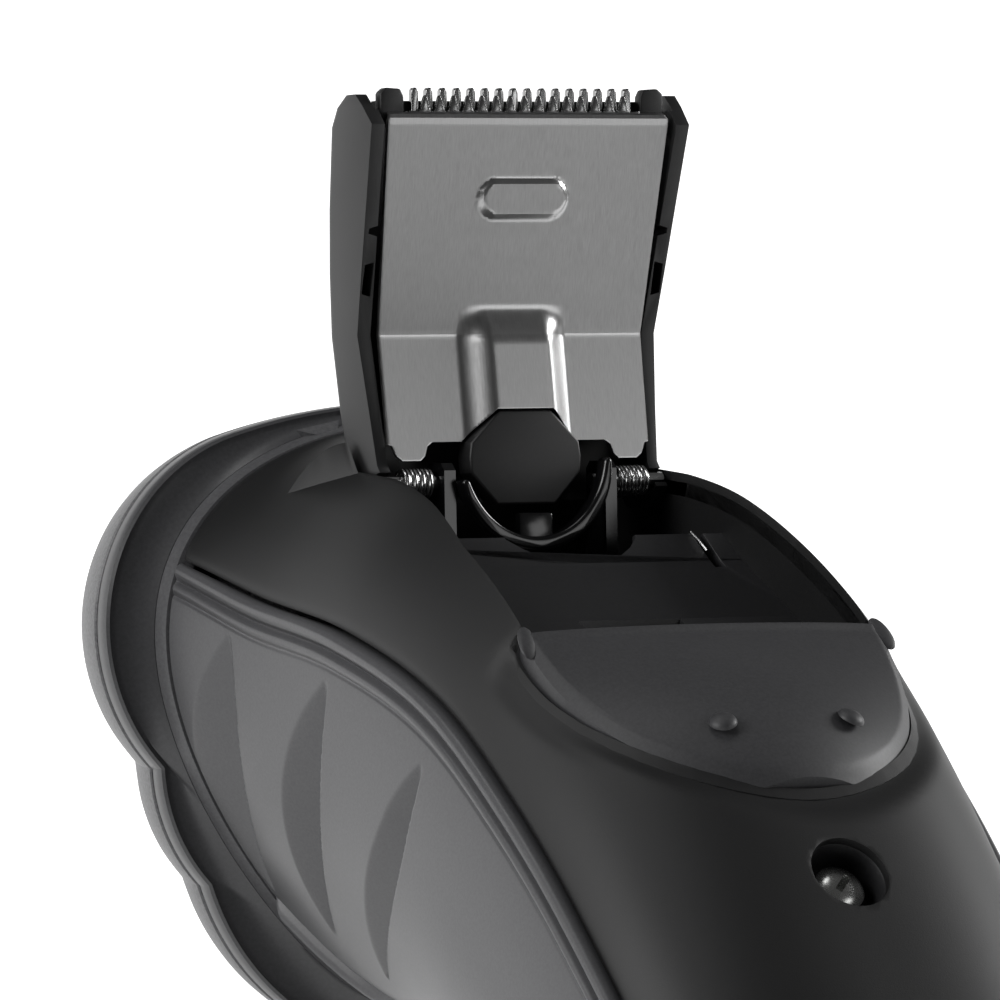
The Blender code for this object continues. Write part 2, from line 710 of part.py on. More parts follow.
def rear_frame(parts, cutters, paint):
    rings = [neck_ring(-0.6, CUP_BACK), head_ring(1.4, CUP_EDGE - 0.5), head_ring(0.4, CUP_EDGE),
             head_ring(0.4, CUP_FRONT), head_ring(2.4, CUP_FRONT), head_ring(3.0, CUP_EDGE + 0.9),
             neck_ring(2.0, CUP_BACK + 1.1)]
    cup = ring_loft("head_rear_frame", rings, parts)
    bores = [("sun_opening", DRIVE_CENTRE, 2.0)]
    bores += [("rotor_opening_" + word, spot, 1.6) for word, spot in CUTTER_CENTRES.items()]
    for name, (x, z), radius in bores:
        hole = rod(name, radius, 4, -4, 16, cutters)
        place(hole, (x, CUP_BACK, z), (1, 0, 0), (0, 1, 0))
        combine(cup, hole, "DIFFERENCE")
    finish(cup, paint["cup"])


def front_frame(parts, cutters, paint):
    rings = [head_ring(inset, y) for inset, y in FRAME_PROFILE]
    frame = ring_loft("head_front_frame", rings, parts)
    cavity = flat_shape("frame_cavity", head_outline(FRAME_WALL), 8.0, cutters)
    place(cavity, (0, FRAME_FRONT - 6.0, 0), **FACE)
    combine(frame, cavity, "DIFFERENCE")
    for word, (x, z) in CUTTER_CENTRES.items():
        hole = rod("guard_opening_" + word, GUARD_RADIUS + 0.4, 5, -5, 36, cutters)
        place(hole, (x, FRAME_FRONT, z), (1, 0, 0), (0, 1, 0))
        combine(frame, hole, "DIFFERENCE")
    finish(frame, paint["frame"])


def cutters_and_guards(parts, cutters, paint):
    for word, (x, z) in CUTTER_CENTRES.items():
        guard = turned("guard_" + word, (
            (5.0, 34.2), (11.6, 34.2), (GUARD_RADIUS, 33.4), (GUARD_RADIUS, 30.0), (11.4, 30.0),
            (11.4, 33.0), (10.9, 33.6), (5.0, 33.6), (5.0, 34.2)), 32, parts)
        place(guard, (x, 0, z), (1, 0, 0), (0, 1, 0))
        finish(guard, paint["steel"])
        cap = turned("guard_cap_" + word, ((0, 34.5), (3.8, 34.4), (4.7, 34.0), (4.7, 33.2), (0, 33.2)),
                     24, parts)
        place(cap, (x, 0, z), (1, 0, 0), (0, 1, 0))
        finish(cap, paint["frame"])
        cutter = turned("cutter_" + word, (
            (0, 31.2), (6.2, 31.2), (6.2, 32.4), (CUTTER_RADIUS, 32.4), (CUTTER_RADIUS, 31.2),
            (8.4, 29.4), (3.0, 29.0), (0, 29.0)), 24, parts)
        place(cutter, (x, 0, z), (1, 0, 0), (0, 1, 0))
        finish(cutter, paint["steel"])
        spindle = turned("spindle_" + word, ((0, 28.7), (1.3, 28.7), (1.6, 26.0), (1.6, 25.3), (0, 25.3)),
                         16, parts)
        place(spindle, (x, 0, z), (1, 0, 0), (0, 1, 0))
        finish(spindle, paint["collar"])
        gear("head_gear_" + word, HEAD_GEAR_RADIUS, 24, (x, z), 1.2, parts, cutters, paint)
    gear("sun_gear", SUN_GEAR_RADIUS, 29, DRIVE_CENTRE, 1.3, parts, cutters, paint)


def gear(name, radius, teeth, centre, hub, parts, cutters, paint):
    """Toothed wheel with a short hub behind it, axis along Y."""
    line = []
    for i in range(teeth * 2):
        turn = math.pi * i / teeth
        size = radius if i % 2 else radius - 0.8
        line.append((size * math.cos(turn), size * math.sin(turn)))
    low, high = GEAR_SPAN
    wheel = flat_shape(name, line, high - low, parts)
    place(wheel, (centre[0], (low + high) / 2, centre[1]), **FACE)
    finish(wheel, paint["collar"])
    boss = rod(name + "_hub", hub, low + 0.5, 22.2, 12, cutters)
    place(boss, (centre[0], 0, centre[1]), (1, 0, 0), (0, 1, 0))
    combine(wheel, boss, "UNION")


# ---------------------------------------------------------------- inside the handle

def inner_works(parts, paint):
    motor = turned("motor_can", ((0, 17.0), (3.0, 17.0), (3.0, 16.2), (9.0, 16.2), (9.5, 15.7),
                                 (9.5, -11.5), (9.0, -12.0), (0, -12.0)), 32, parts)
    place(motor, (0, 0, DRIVE_CENTRE[1] - 0.6), (1, 0, 0), (0, 1, 0))
    finish(motor, paint["steel"])
    shaft = rod("motor_shaft", 0.9, 21.9, 17.4, 12, parts)
    place(shaft, (0, 0, DRIVE_CENTRE[1]), (1, 0, 0), (0, 1, 0))
    finish(shaft, paint["steel"])
    down = Vector((0, -30, -36)).normalized()
    cell = turned("battery_cell", ((0, 24.2), (2.6, 24.2), (2.6, 23.2), (7.1, 23.2), (7.1, -24.0),
                                   (0, -24.0)), 28, parts)
    place(cell, CELL_MIDDLE, (1, 0, 0), down * -1)
    finish(cell, paint["cell"])
    out = Vector((0, 36, -30)).normalized()
    board = flat_shape("circuit_board", mirrored(((8.5, 22.0), (10.0, 20.5), (10.0, -20.0), (8.5, -22.0))),
                       1.2, parts)
    place(board, CELL_MIDDLE + out * 8.6, (1, 0, 0), out)
    finish(board, paint["board"])


def controls(parts, paint):
    key = turned("power_button", ((0, 0.9), (3.6, 0.9), (POWER_RADIUS, 0.3), (POWER_RADIUS, -1.8),
                                  (0, -1.8)), 28, parts)
    surface_place(key, POWER_STATION, 180.0, 0.0)
    finish(key, paint["button"])
    lens = turned("charge_lens", ((0, 0.2), (0.9, 0.15), (LENS_RADIUS, -0.1), (LENS_RADIUS, -1.6),
                                  (0, -1.6)), 16, parts)
    surface_place(lens, LENS_STATION, 180.0, 0.0)
    finish(lens, paint["lens"])


def build():
    clear_scene()
    parts = new_collection(NAME)
    cutters = new_collection("cutters")
    paint = {
        "back": material("black_textured_abs", (0.02, 0.02, 0.022), 0.5),
        "front": material("front_gloss_abs", (0.03, 0.03, 0.032), 0.3),
        "grip": material("grey_satin_abs", (0.16, 0.16, 0.165), 0.45),
        "collar": material("grey_acetal", (0.12, 0.12, 0.125), 0.5),
        "frame": material("head_frame_abs", (0.1, 0.1, 0.105), 0.45),
        "cup": material("head_cup_abs", (0.05, 0.05, 0.052), 0.4),
        "button": material("button_abs", (0.07, 0.07, 0.073), 0.4),
        "inner": material("inner_black_abs", (0.01, 0.01, 0.01), 0.5),
        "steel": material("stainless_steel", (0.6, 0.6, 0.6), 0.3, 1.0),
        "cell": material("cell_sleeve", (0.05, 0.2, 0.12), 0.5),
        "board": material("circuit_laminate", (0.03, 0.16, 0.08), 0.5),
        "lens": material("lens_acrylic", (0.3, 0.6, 0.35), 0.2),
    }
    back_shell(parts, cutters, paint)
    front_shell(parts, cutters, paint)
    grips(parts, paint)
    neck_and_tail(parts, cutters, paint)
    recess_floor(parts, paint)
    drive_fork(parts, paint)
    release_button(parts, paint)
    rear_screw(parts, cutters, paint)
    trimmer_cover(parts, cutters, paint)
    trimmer_plate(parts, cutters, paint)
    trimmer_blades(parts, paint)
    drive_block(parts, paint)
    rear_frame(parts, cutters, paint)
    front_frame(parts, cutters, paint)
    cutters_and_guards(parts, cutters, paint)
    inner_works(parts, paint)
    controls(parts, paint)
    lay_down(parts, cutters)


def lay_down(parts, cutters):
    """Tilt the hinge frame and stand it on the floor, centred over the origin."""
    frame = bpy.data.objects.new("shaver_frame", None)
    parts.objects.link(frame)
    for piece in list(parts.objects) + list(cutters.objects):
        if piece is not frame:
            piece.parent = frame
    frame.rotation_euler = (math.radians(LIE_TILT), 0.0, 0.0)
    bpy.context.view_layer.update()
    graph = bpy.context.evaluated_depsgraph_get()
    low = [1e9, 1e9, 1e9]
    high = [-1e9, -1e9, -1e9]
    for piece in parts.objects:
        if piece.type != "MESH":
            continue
        shape = piece.evaluated_get(graph)
        for vertex in shape.data.vertices:
            spot = shape.matrix_world @ vertex.co
            for k in range(3):
                low[k] = min(low[k], spot[k])
                high[k] = max(high[k], spot[k])
    frame.location = (0.0, -(low[1] + high[1]) / 2, -low[2])
    bpy.context.view_layer.update()


build()
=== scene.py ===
import json
import math

import bmesh
import bpy
from mathutils import Matrix, Vector


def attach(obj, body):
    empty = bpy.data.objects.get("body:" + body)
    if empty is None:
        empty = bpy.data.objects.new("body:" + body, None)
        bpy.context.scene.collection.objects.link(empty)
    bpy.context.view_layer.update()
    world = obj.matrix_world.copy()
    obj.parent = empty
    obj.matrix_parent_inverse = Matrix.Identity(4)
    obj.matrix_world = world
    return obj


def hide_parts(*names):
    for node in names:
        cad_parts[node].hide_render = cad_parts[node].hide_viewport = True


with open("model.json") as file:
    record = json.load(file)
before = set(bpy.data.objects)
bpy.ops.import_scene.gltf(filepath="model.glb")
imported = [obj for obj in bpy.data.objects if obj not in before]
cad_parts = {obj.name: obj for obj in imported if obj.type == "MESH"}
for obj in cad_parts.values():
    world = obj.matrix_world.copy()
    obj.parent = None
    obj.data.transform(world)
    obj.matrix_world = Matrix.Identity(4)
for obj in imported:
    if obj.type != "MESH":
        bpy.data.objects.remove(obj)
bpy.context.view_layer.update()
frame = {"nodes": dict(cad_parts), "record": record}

# ------------------------------------------------------------------ table, lights and camera
# The shaver lies on its front on a plain pale table under broad soft lights.
# Everything is set out in the hinge frame: millimetres from the middle of the trimmer's
# hinge, +X right, +Y to the shaving head, +Z up the open trimmer.
MM = 0.001
joint_at = {joint["name"]: joint for joint in frame["record"]["behaviour"]["joints"]}
HINGE = Vector(joint_at["trimmer_hinge"]["pos_m"])
LIE_TILT = -29.94
STAND = Matrix.Translation(HINGE) @ Matrix.Rotation(math.radians(LIE_TILT), 4, "X")


def linear(code):
    """Linear colour of an sRGB hex value."""
    parts = [int(code[i:i + 2], 16) / 255 for i in (1, 3, 5)]
    return [c / 12.92 if c <= 0.04045 else ((c + 0.055) / 1.055) ** 2.4 for c in parts] + [1.0]


def add(tree, kind, inputs=None, **settings):
    """Adds a node with its settings, values and links."""
    node = tree.nodes.new(kind)
    for name, value in settings.items():
        setattr(node, name, value)
    for name, value in (inputs or {}).items():
        socket = node.inputs[name]
        if isinstance(value, bpy.types.NodeSocket):
            tree.links.new(value, socket)
        else:
            socket.default_value = value
    return node


def empty_material(name, **sockets):
    """A new material with only its shader, and that shader's fixed values."""
    made = bpy.data.materials.new(name)
    made.use_nodes = True
    shader = made.node_tree.nodes["Principled BSDF"]
    for label, value in sockets.items():
        shader.inputs[label].default_value = value
    return made, made.node_tree, shader


# Matt laminate table top: near white, with a very faint mottle 40 mm across.
table_paint, tree, shader = empty_material("white_laminate")
spot = add(tree, "ShaderNodeTexCoord")
mottle = add(tree, "ShaderNodeTexNoise", {"Vector": spot.outputs["Object"], "Scale": 1 / (40 * MM)})
shade = add(tree, "ShaderNodeValToRGB", {"Fac": mottle.outputs["Fac"]})
shade.color_ramp.elements[0].color = linear("#f2f2f2")
shade.color_ramp.elements[1].color = linear("#fbfbfb")
tree.links.new(shade.outputs["Color"], shader.inputs["Base Color"])
tree.links.new(shade.outputs["Color"], shader.inputs["Emission Color"])
shader.inputs["Emission Strength"].default_value = 0.85
shader.inputs["Roughness"].default_value = 0.6
table_mesh = bpy.data.meshes.new("table")
TABLE_HALF = 4.0
TABLE_TOP = -0.0002
corners = [(x * TABLE_HALF, y * TABLE_HALF, TABLE_TOP) for x, y in ((-1, -1), (1, -1), (1, 1), (-1, 1))]
table_mesh.from_pydata(corners, [], [(0, 1, 2, 3)])
table_mesh.materials.append(table_paint)
table = bpy.data.objects.new("table", table_mesh)
bpy.context.collection.objects.link(table)
table.visible_diffuse = False

world = bpy.data.worlds.new("studio")
world.use_nodes = True
world.node_tree.nodes["Background"].inputs["Color"].default_value = (1, 1, 1, 1)
world.node_tree.nodes["Background"].inputs["Strength"].default_value = 0.07
bpy.context.scene.world = world
bpy.context.scene.view_settings.view_transform = "Standard"

YAW = math.radians(28.0)
ROLL = math.radians(1.06)
DISTANCE = 864.0
OFF_RIGHT = 2.03
OFF_UP = 1.70
back_axis = Vector((-math.sin(YAW), -math.cos(YAW), 0.0))
level_right = Vector((math.cos(YAW), -math.sin(YAW), 0.0))
level_up = Vector((0.0, 0.0, 1.0))
right_axis = level_right * math.cos(ROLL) - level_up * math.sin(ROLL)
up_axis = level_right * math.sin(ROLL) + level_up * math.cos(ROLL)
lens = bpy.data.cameras.new("camera")
lens.lens = 329.6
lens.clip_end = 20.0
camera = bpy.data.objects.new("camera", lens)
bpy.context.collection.objects.link(camera)
stand_at = (back_axis * DISTANCE - right_axis * OFF_RIGHT - up_axis * OFF_UP) * MM
turn = Matrix((right_axis, up_axis, back_axis)).transposed().to_4x4()
camera.matrix_world = STAND @ Matrix.Translation(stand_at) @ turn
bpy.context.scene.camera = camera


def soft_light(name, spot, size, power):
    """A square soft box at a place in metres round the shaver, aimed at it."""
    box = bpy.data.lights.new(name, "AREA")
    box.size = size
    box.energy = power
    light = bpy.data.objects.new(name, box)
    bpy.context.collection.objects.link(light)
    aim = Vector((0, 0, 0.05))
    light.location = Vector(spot)
    light.rotation_euler = (aim - light.location).to_track_quat("-Z", "Y").to_euler()


soft_light("left_box", (-1.0, 0.10, 0.55), 0.6, 7.0)
soft_light("top_box", (-0.3, 0.6, 1.1), 0.5, 2.0)
soft_light("right_box", (0.95, 0.10, 0.45), 0.35, 6.0)
soft_light("front_card", (0.66, -0.92, 0.60), 0.55, 1.9)


# ------------------------------------------------------------------ body form
# The handle is one flowing form from the neck to the tail, moulded as a back, a front and two
# grips that meet along seams.  In side view its back and front lines each leave the neck at a
# point and a slope (degrees below -Y) and run through pieces of (length, turn in degrees).
BACK_START = (19.8, 6.0)
BACK_SLOPE = 1.5
BACK_PIECES = ((18.5, 0.0), (50.0, 46.0), (95.5, 14.5))
FRONT_START = (19.8, -50.5)
FRONT_SLOPE = 5.0
FRONT_PIECES = ((110.0, 57.0),)
# Stations from the neck to the tail, as lengths along the back line and along the front line
BACK_STATIONS = (0, 15, 35, 55, 73, 91, 115, 140, 164)
FRONT_STATIONS = (0, 10, 20, 30, 42, 56, 73, 91, 110)
NECK_HALF = 26.4
TAIL_HALF = 22.2
NECK_WIDENING = 0.34
BODY_WIDENING = 0.2
NECK_SQUARENESS = 2.0
TAIL_SQUARENESS = 3.3


def side_line(start, slope, pieces, length):
    """Point a length along a line of straight runs and arcs, in the side view (y, z)."""
    y, z = start
    for run, turn in pieces:
        part = min(length, run)
        half_turn = math.radians(turn * part / run / 2)
        middle = math.radians(slope) + half_turn
        chord = part * math.sin(half_turn) / half_turn if half_turn else part
        y -= chord * math.cos(middle)
        z -= chord * math.sin(middle)
        slope += turn * part / run
        length -= part
    return y, z


def station(number, back_length, front_length):
    """Section of the body: back y, z, front y, z, half width, widening to the back, squareness."""
    share = number / (len(BACK_STATIONS) - 1)
    back = side_line(BACK_START, BACK_SLOPE, BACK_PIECES, back_length)
    front = side_line(FRONT_START, FRONT_SLOPE, FRONT_PIECES, front_length)
    half = NECK_HALF + (TAIL_HALF - NECK_HALF) * share
    widening = BODY_WIDENING * (1 - share) if number else NECK_WIDENING
    squareness = NECK_SQUARENESS + (TAIL_SQUARENESS - NECK_SQUARENESS) * share ** 2
    return (*back, *front, half, widening, squareness)


STATIONS = [station(i, *lengths) for i, lengths in enumerate(zip(BACK_STATIONS, FRONT_STATIONS))]
COLUMNS = list(zip(*STATIONS))
TAIL = len(STATIONS) - 1
NECK_START = 0.02
# Angle of each grip's upper and lower edge round the section, one value per station
UPPER_EDGE = (57.0, 64.0, 66.0, 64.0, 62.5, 61.5, 60.0, 59.0, 58.0)
LOWER_EDGE = (133.0, 157.0, 156.0, 150.0, 142.0, 135.0, 128.0, 124.0, 122.0)
SKIN = 1.8


def flow(values, t):
    """Smooth curve through equally spaced values."""
    last = len(values) - 1
    i = min(max(int(math.floor(t)), 0), last - 1)
    f = t - i
    b, c = values[i], values[i + 1]
    a = values[i - 1] if i > 0 else 2 * b - c
    d = values[i + 2] if i < last - 1 else 2 * c - b
    return b + 0.5 * ((c - a) * f + (2 * a - 5 * b + 4 * c - d) * f * f + (3 * b - a - 3 * c + d) * f ** 3)


def body_point(t, angle):
    """Point on the handle; t runs down its length and angle 0 is the middle of the back."""
    back_y, back_z, front_y, front_z, half, widening, power = [flow(c, t) for c in COLUMNS]
    cosine, sine = math.cos(math.radians(angle)), math.sin(math.radians(angle))
    up = math.copysign(abs(cosine) ** (2 / power), cosine)
    out = math.copysign(abs(sine) ** (2 / power), sine)
    return Vector((
        half * out * (1 + widening * up),
        (back_y + front_y) / 2 + (back_y - front_y) / 2 * up,
        (back_z + front_z) / 2 + (back_z - front_z) / 2 * up,
    ))


def body_normal(t, angle):
    along = body_point(t + 0.02, angle) - body_point(t - 0.02, angle)
    around = body_point(t, angle + 1) - body_point(t, angle - 1)
    return along.cross(around).normalized()


def settle(piece, crease=35):
    """Applies a piece's modifiers, then shades it smooth with sharp edges kept sharp."""
    graph = bpy.context.evaluated_depsgraph_get()
    mesh = bpy.data.meshes.new_from_object(piece.evaluated_get(graph))
    piece.modifiers.clear()
    piece.data = mesh
    mesh.polygons.foreach_set("use_smooth", [True] * len(mesh.polygons))
    mesh.set_sharp_from_angle(angle=math.radians(crease))
    return piece


def solid(name, vertices, faces, paint=None):
    """A closed piece from points in the hinge frame."""
    mesh = bpy.data.meshes.new(name)
    mesh.from_pydata([STAND @ (Vector(v) * MM) for v in vertices], [], faces)
    tidy = bmesh.new()
    tidy.from_mesh(mesh)
    bmesh.ops.remove_doubles(tidy, verts=tidy.verts, dist=0.0005 * MM)
    bmesh.ops.recalc_face_normals(tidy, faces=tidy.faces)
    tidy.to_mesh(mesh)
    tidy.free()
    piece = bpy.data.objects.new(name, mesh)
    bpy.context.collection.objects.link(piece)
    if paint:
        mesh.materials.append(paint)
    return piece


def sheet_solid(name, outer, inner, paint=None):
    """A closed slab between two equal grids of points."""
    rows, wide = len(outer), len(outer[0])
    vertices = [p for row in outer for p in row] + [p for row in inner for p in row]
    top = rows * wide
    faces = []
    for i in range(rows - 1):
        for j in range(wide - 1):
            a = i * wide + j
            faces.append((a, a + 1, a + wide + 1, a + wide))
            faces.append((top + a, top + a + wide, top + a + wide + 1, top + a + 1))
        for a in (i * wide, i * wide + wide - 1):
            faces.append((a, a + wide, top + a + wide, top + a))
    for j in range(wide - 1):
        for a in (j, (rows - 1) * wide + j):
            faces.append((a, a + 1, top + a + 1, top + a))
    return solid(name, vertices, faces, paint)


def loop_solid(name, rings, paint=None, tube=False):
    """A closed piece lofted through rings; its ends are capped unless it is a closed tube."""
    count = len(rings[0])
    faces = []
    for i in range(len(rings) if tube else len(rings) - 1):
        low, high = i * count, (i + 1) % len(rings) * count
        for j in range(count):
            k = (j + 1) % count
            faces.append((low + j, low + k, high + k, high + j))
    if not tube:
        faces.append(tuple(range(count)))
        faces.append(tuple(range(count * (len(rings) - 1), count * len(rings))))
    return solid(name, [p for ring in rings for p in ring], faces, paint)


def cut(piece, tool, how="DIFFERENCE"):
    """Cuts or joins with another piece, which is used up."""
    step = piece.modifiers.new(how.title(), "BOOLEAN")
    step.operation = how
    step.solver = "EXACT"
    step.object = tool
    graph = bpy.context.evaluated_depsgraph_get()
    mesh = bpy.data.meshes.new_from_object(piece.evaluated_get(graph))
    piece.modifiers.clear()
    piece.data = mesh
    bpy.data.objects.remove(tool, do_unlink=True)


def soften(piece, width, steps=2, limit=40):
    """Small moulding radius along the sharp edges."""
    edge = piece.modifiers.new("Radius", "BEVEL")
    edge.width = width * MM
    edge.segments = steps
    edge.limit_method = "ANGLE"
    edge.angle_limit = math.radians(limit)


def prism(name, outline, depth, frame_of, paint=None):
    """Straight-sided piece: an outline and how frame_of(a, b, c) sets a point at depth c."""
    rings = [[frame_of(a, b, c) for a, b in outline] for c in depth]
    return loop_solid(name, rings, paint)


def side(a, b, c):
    return (c, a, b)


def face(a, b, c):
    return (a, c, b)


def plan(a, b, c):
    return (a, b, c)


def down_back(a, b, c):
    """a across, b down the back from the hinge, c out of the back."""
    return (a, -0.927 * b - 0.375 * c, -0.375 * b + 0.927 * c)


def circle_turns(count):
    return [2 * math.pi * k / count for k in range(count)]


def round_stack(name, hub, out, levels, paint=None, count=64, tube=False):
    """Circles of (radius, height) stacked on a point of the body along a direction."""
    across = Vector((1, 0, 0))
    down = out.cross(across)
    rings = [[hub + out * height + (across * math.cos(a) + down * math.sin(a)) * radius
              for a in circle_turns(count)] for radius, height in levels]
    return loop_solid(name, rings, paint, tube)


def body_core(depth):
    """The handle's form shrunk by a depth, for trimming what stands inside it."""
    rings = []
    for i in range(61):
        t = 0.05 + 7.9 * i / 60
        rings.append([body_point(t, a) - body_normal(t, a) * depth for a in range(-180, 180, 5)])
    return loop_solid("core", rings)


def mirrored(half):
    """Closed outline from its right half, listed from top to bottom."""
    return list(half) + [(-x, z) for x, z in reversed(half) if x > 0.001]


def moulded(name, colour, dark, rough, grain, depth, speck=0.35):
    """Moulded ABS: a spark-eroded tool leaves fine pits, seen as a satin speckle.
    grain is the pit spacing in mm and depth the pit depth in mm."""
    made, tree, shader = empty_material(name, IOR=1.53)
    spot = add(tree, "ShaderNodeTexCoord")
    pits = add(tree, "ShaderNodeTexNoise", {"Vector": spot.outputs["Object"], "Scale": 1 / (grain * MM),
                                            "Detail": 3.0, "Roughness": 0.6})
    broad = add(tree, "ShaderNodeTexNoise", {"Vector": spot.outputs["Object"], "Scale": 1 / (18 * MM)})
    mix = add(tree, "ShaderNodeMapRange", {"Value": pits.outputs["Fac"], "From Min": 0.5 - speck / 2,
                                           "From Max": 0.5 + speck / 2})
    tint = add(tree, "ShaderNodeValToRGB", {"Fac": mix.outputs["Result"]})
    tint.color_ramp.elements[0].color = linear(dark)
    tint.color_ramp.elements[1].color = linear(colour)
    tree.links.new(tint.outputs["Color"], shader.inputs["Base Color"])
    gloss = add(tree, "ShaderNodeMapRange", {"Value": broad.outputs["Fac"], "To Min": rough - 0.04,
                                             "To Max": rough + 0.05})
    tree.links.new(gloss.outputs["Result"], shader.inputs["Roughness"])
    bump = add(tree, "ShaderNodeBump", {"Height": pits.outputs["Fac"], "Strength": 0.5,
                                        "Distance": depth * MM})
    tree.links.new(bump.outputs["Normal"], shader.inputs["Normal"])
    return made


def fit(piece, body, *nodes, crease=35):
    """Settles a piece, lets it ride on its body and takes over the plain solids it stands for."""
    settle(piece, crease)
    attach(piece, body)
    if nodes:
        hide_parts(*nodes)
    return piece


# ------------------------------------------------------------------ back shell
# Black ABS shell over the back, injection moulded with a spark-eroded texture.  It has the
# trimmer's recess with its walls, the ears beside the hinge and a soft dish round the button.
RECESS = ((15.6, -12.6), (15.6, 4.0), (16.6, 14.0), (17.6, 22.0), (18.0, 35.6), (19.2, 36.4))
BUTTON_START = 36.9
BUTTON_LENGTH = 23.4
BUTTON_HALF = 18.6
EAR_CREST = ((19.4, 10.3, -0.5), (15.75, 5.1, 4.0))
EAR_BOW = 1.1
EAR_BACK_FOOT = ((19.5, 10.1, -1.2), (15.75, 2.7, 0.6))
EAR_HEAD_FOOT = ((19.6, 10.9, -1.2), (15.75, 9.4, 0.8))
EAR_STEPS = 16
SCREW_STATION = 5.2
SCREW_HOLE = 3.75
SEAM = 0.5
black_abs = moulded("black_eroded_abs", "#0c0c0d", "#070708", 0.5, 0.16, 0.02)


def opening_outline(grow=0.0, steps=24):
    """Opening for the trimmer's recess and the button below it, in the back's plane."""
    right = [(x + grow, b - (grow if b < 0 else 0)) for x, b in RECESS[:-1]]
    right.append((RECESS[-1][0] + grow, RECESS[-1][1]))
    for i in range(steps + 1):
        a = math.pi / 2 * i / steps
        x = (BUTTON_HALF + 0.4 + grow) * math.cos(a)
        right.append((x, BUTTON_START + 0.3 + (0.97 * BUTTON_LENGTH + 0.35 + grow) * math.sin(a)))
    return mirrored(right)


def eased(value):
    """Smooth step from 0 to 1."""
    value = min(max(value, 0.0), 1.0)
    return value * value * (3 - 2 * value)


def button_reach(point):
    """How far a point on the back lies outside the button's rim, in millimetres."""
    b = -0.927 * point.y - 0.375 * point.z - BUTTON_START
    if b < -4:
        return 99.0
    scale = math.hypot(point.x / BUTTON_HALF, max(b, 0) / BUTTON_LENGTH)
    return (scale - 1) * 20 + max(-b, 0) * 2


def back_height(t, angle, share):
    """Height over the plain body: the dish round the button and the eased side edges."""
    point = body_point(t, angle)
    reach = button_reach(point)
    below = -0.927 * point.y - 0.375 * point.z - BUTTON_START
    dish = -0.85 * (1 - eased((reach - 1.0) / 2.4)) * eased((below + 1.5) / 4.0)
    edge = min(share, 1 - share) * 100
    return dish - 0.22 * math.exp(-edge * 1.6)


rows, wide = 150, 110
outer, inner = [], []
for i in range(rows + 1):
    t = NECK_START + (TAIL - NECK_START) * i / rows
    edge = flow(UPPER_EDGE, t) - SEAM
    outer.append([])
    inner.append([])
    for j in range(wide + 1):
        angle = -edge + 2 * edge * j / wide
        point, out = body_point(t, angle), body_normal(t, angle)
        outer[-1].append(point + out * back_height(t, angle, j / wide))
        inner[-1].append(point - out * SKIN)
back = sheet_solid("back_shell_fine", outer, inner, black_abs)
for way in (-1, 1):
    rings = []
    for k in range(EAR_STEPS + 1):
        share = k / EAR_STEPS
        foot, crest, heel = ([a + (b - a) * share for a, b in zip(*pair)]
                             for pair in (EAR_BACK_FOOT, EAR_CREST, EAR_HEAD_FOOT))
        crest[2] += 4 * EAR_BOW * share * (1 - share)
        rings.append([(way * a, b, c) for a, b, c in (foot, crest, heel)])
    ear = loop_solid("ear", rings, black_abs)
    cut(back, ear, "UNION")
wall = prism("recess_wall", opening_outline(1.1), (-13.0, 12.0), down_back, black_abs)
cut(wall, body_core(0.7), "INTERSECT")
cut(wall, prism("tool", opening_outline(0.0), (-16.0, 16.0), down_back))
cut(back, prism("tool", opening_outline(), (-14.0, 14.0), down_back))
screw_hub, screw_out = body_point(SCREW_STATION, 0.0), body_normal(SCREW_STATION, 0.0)
cut(back, round_stack("tool", screw_hub, screw_out, ((SCREW_HOLE, -6.0), (SCREW_HOLE, 6.0))))
soften(back, 0.22, 2, 50)
fit(back, "body", "back_shell")
fit(wall, "body")

# ------------------------------------------------------------------ grip panels
# Two satin grey ABS grips snapped into the sides.  Each has a rounded bead along its upper
# edge with a groove below it, a smaller bead along the lower edge and scalloped finger cuts.
grey_abs = moulded("grey_satin_abs", "#5c5c5e", "#535355", 0.38, 0.27, 0.012)
# Bead heights against the distance in mm from the upper edge, then from the lower edge
UPPER_BEADS = ((0.0, 0.0), (0.1, 0.45), (0.35, 0.85), (0.8, 1.1), (1.25, 1.05), (1.65, 0.7),
               (1.9, 0.25), (2.0, 0.05), (2.15, 0.05), (2.3, 0.3), (2.6, 0.62), (3.0, 0.66),
               (3.35, 0.42), (3.55, 0.12), (3.65, -0.1), (3.85, -0.1), (4.1, 0.0))
LOWER_BEADS = ((0.0, 0.0), (0.15, 0.4), (0.5, 0.72), (0.9, 0.68), (1.2, 0.3), (1.3, 0.06),
               (1.45, 0.06), (1.6, 0.4), (2.0, 0.95), (2.5, 1.1), (3.0, 0.9), (3.35, 0.45),
               (3.5, -0.15), (3.8, -0.15), (4.0, 0.0))
BEADS_WIDTH = 4.2
GRIP_INSIDE = SKIN + 1.6
# Finger cuts: upper tip and lower tip as (station, angle), then how far the soft front edge
# and the sharp rear edge bow away from the line between the tips, in stations
SCALLOPS = (((0.76, 72.0), (0.14, 125.0), -0.42, 0.33), ((1.96, 76.0), (1.3, 130.0), -0.29, 0.2),
            ((3.13, 76.0), (1.95, 136.0), -0.04, 0.33))
SCALLOP_DEPTH = 2.3
SCALLOP_STEP = 0.035


def between(table, at):
    """Straight-line value from a table whose first column rises."""
    for first, second in zip(table, table[1:]):
        if at <= second[0]:
            share = (at - first[0]) / (second[0] - first[0])
            return first[1] + (second[1] - first[1]) * share
    return table[-1][1]


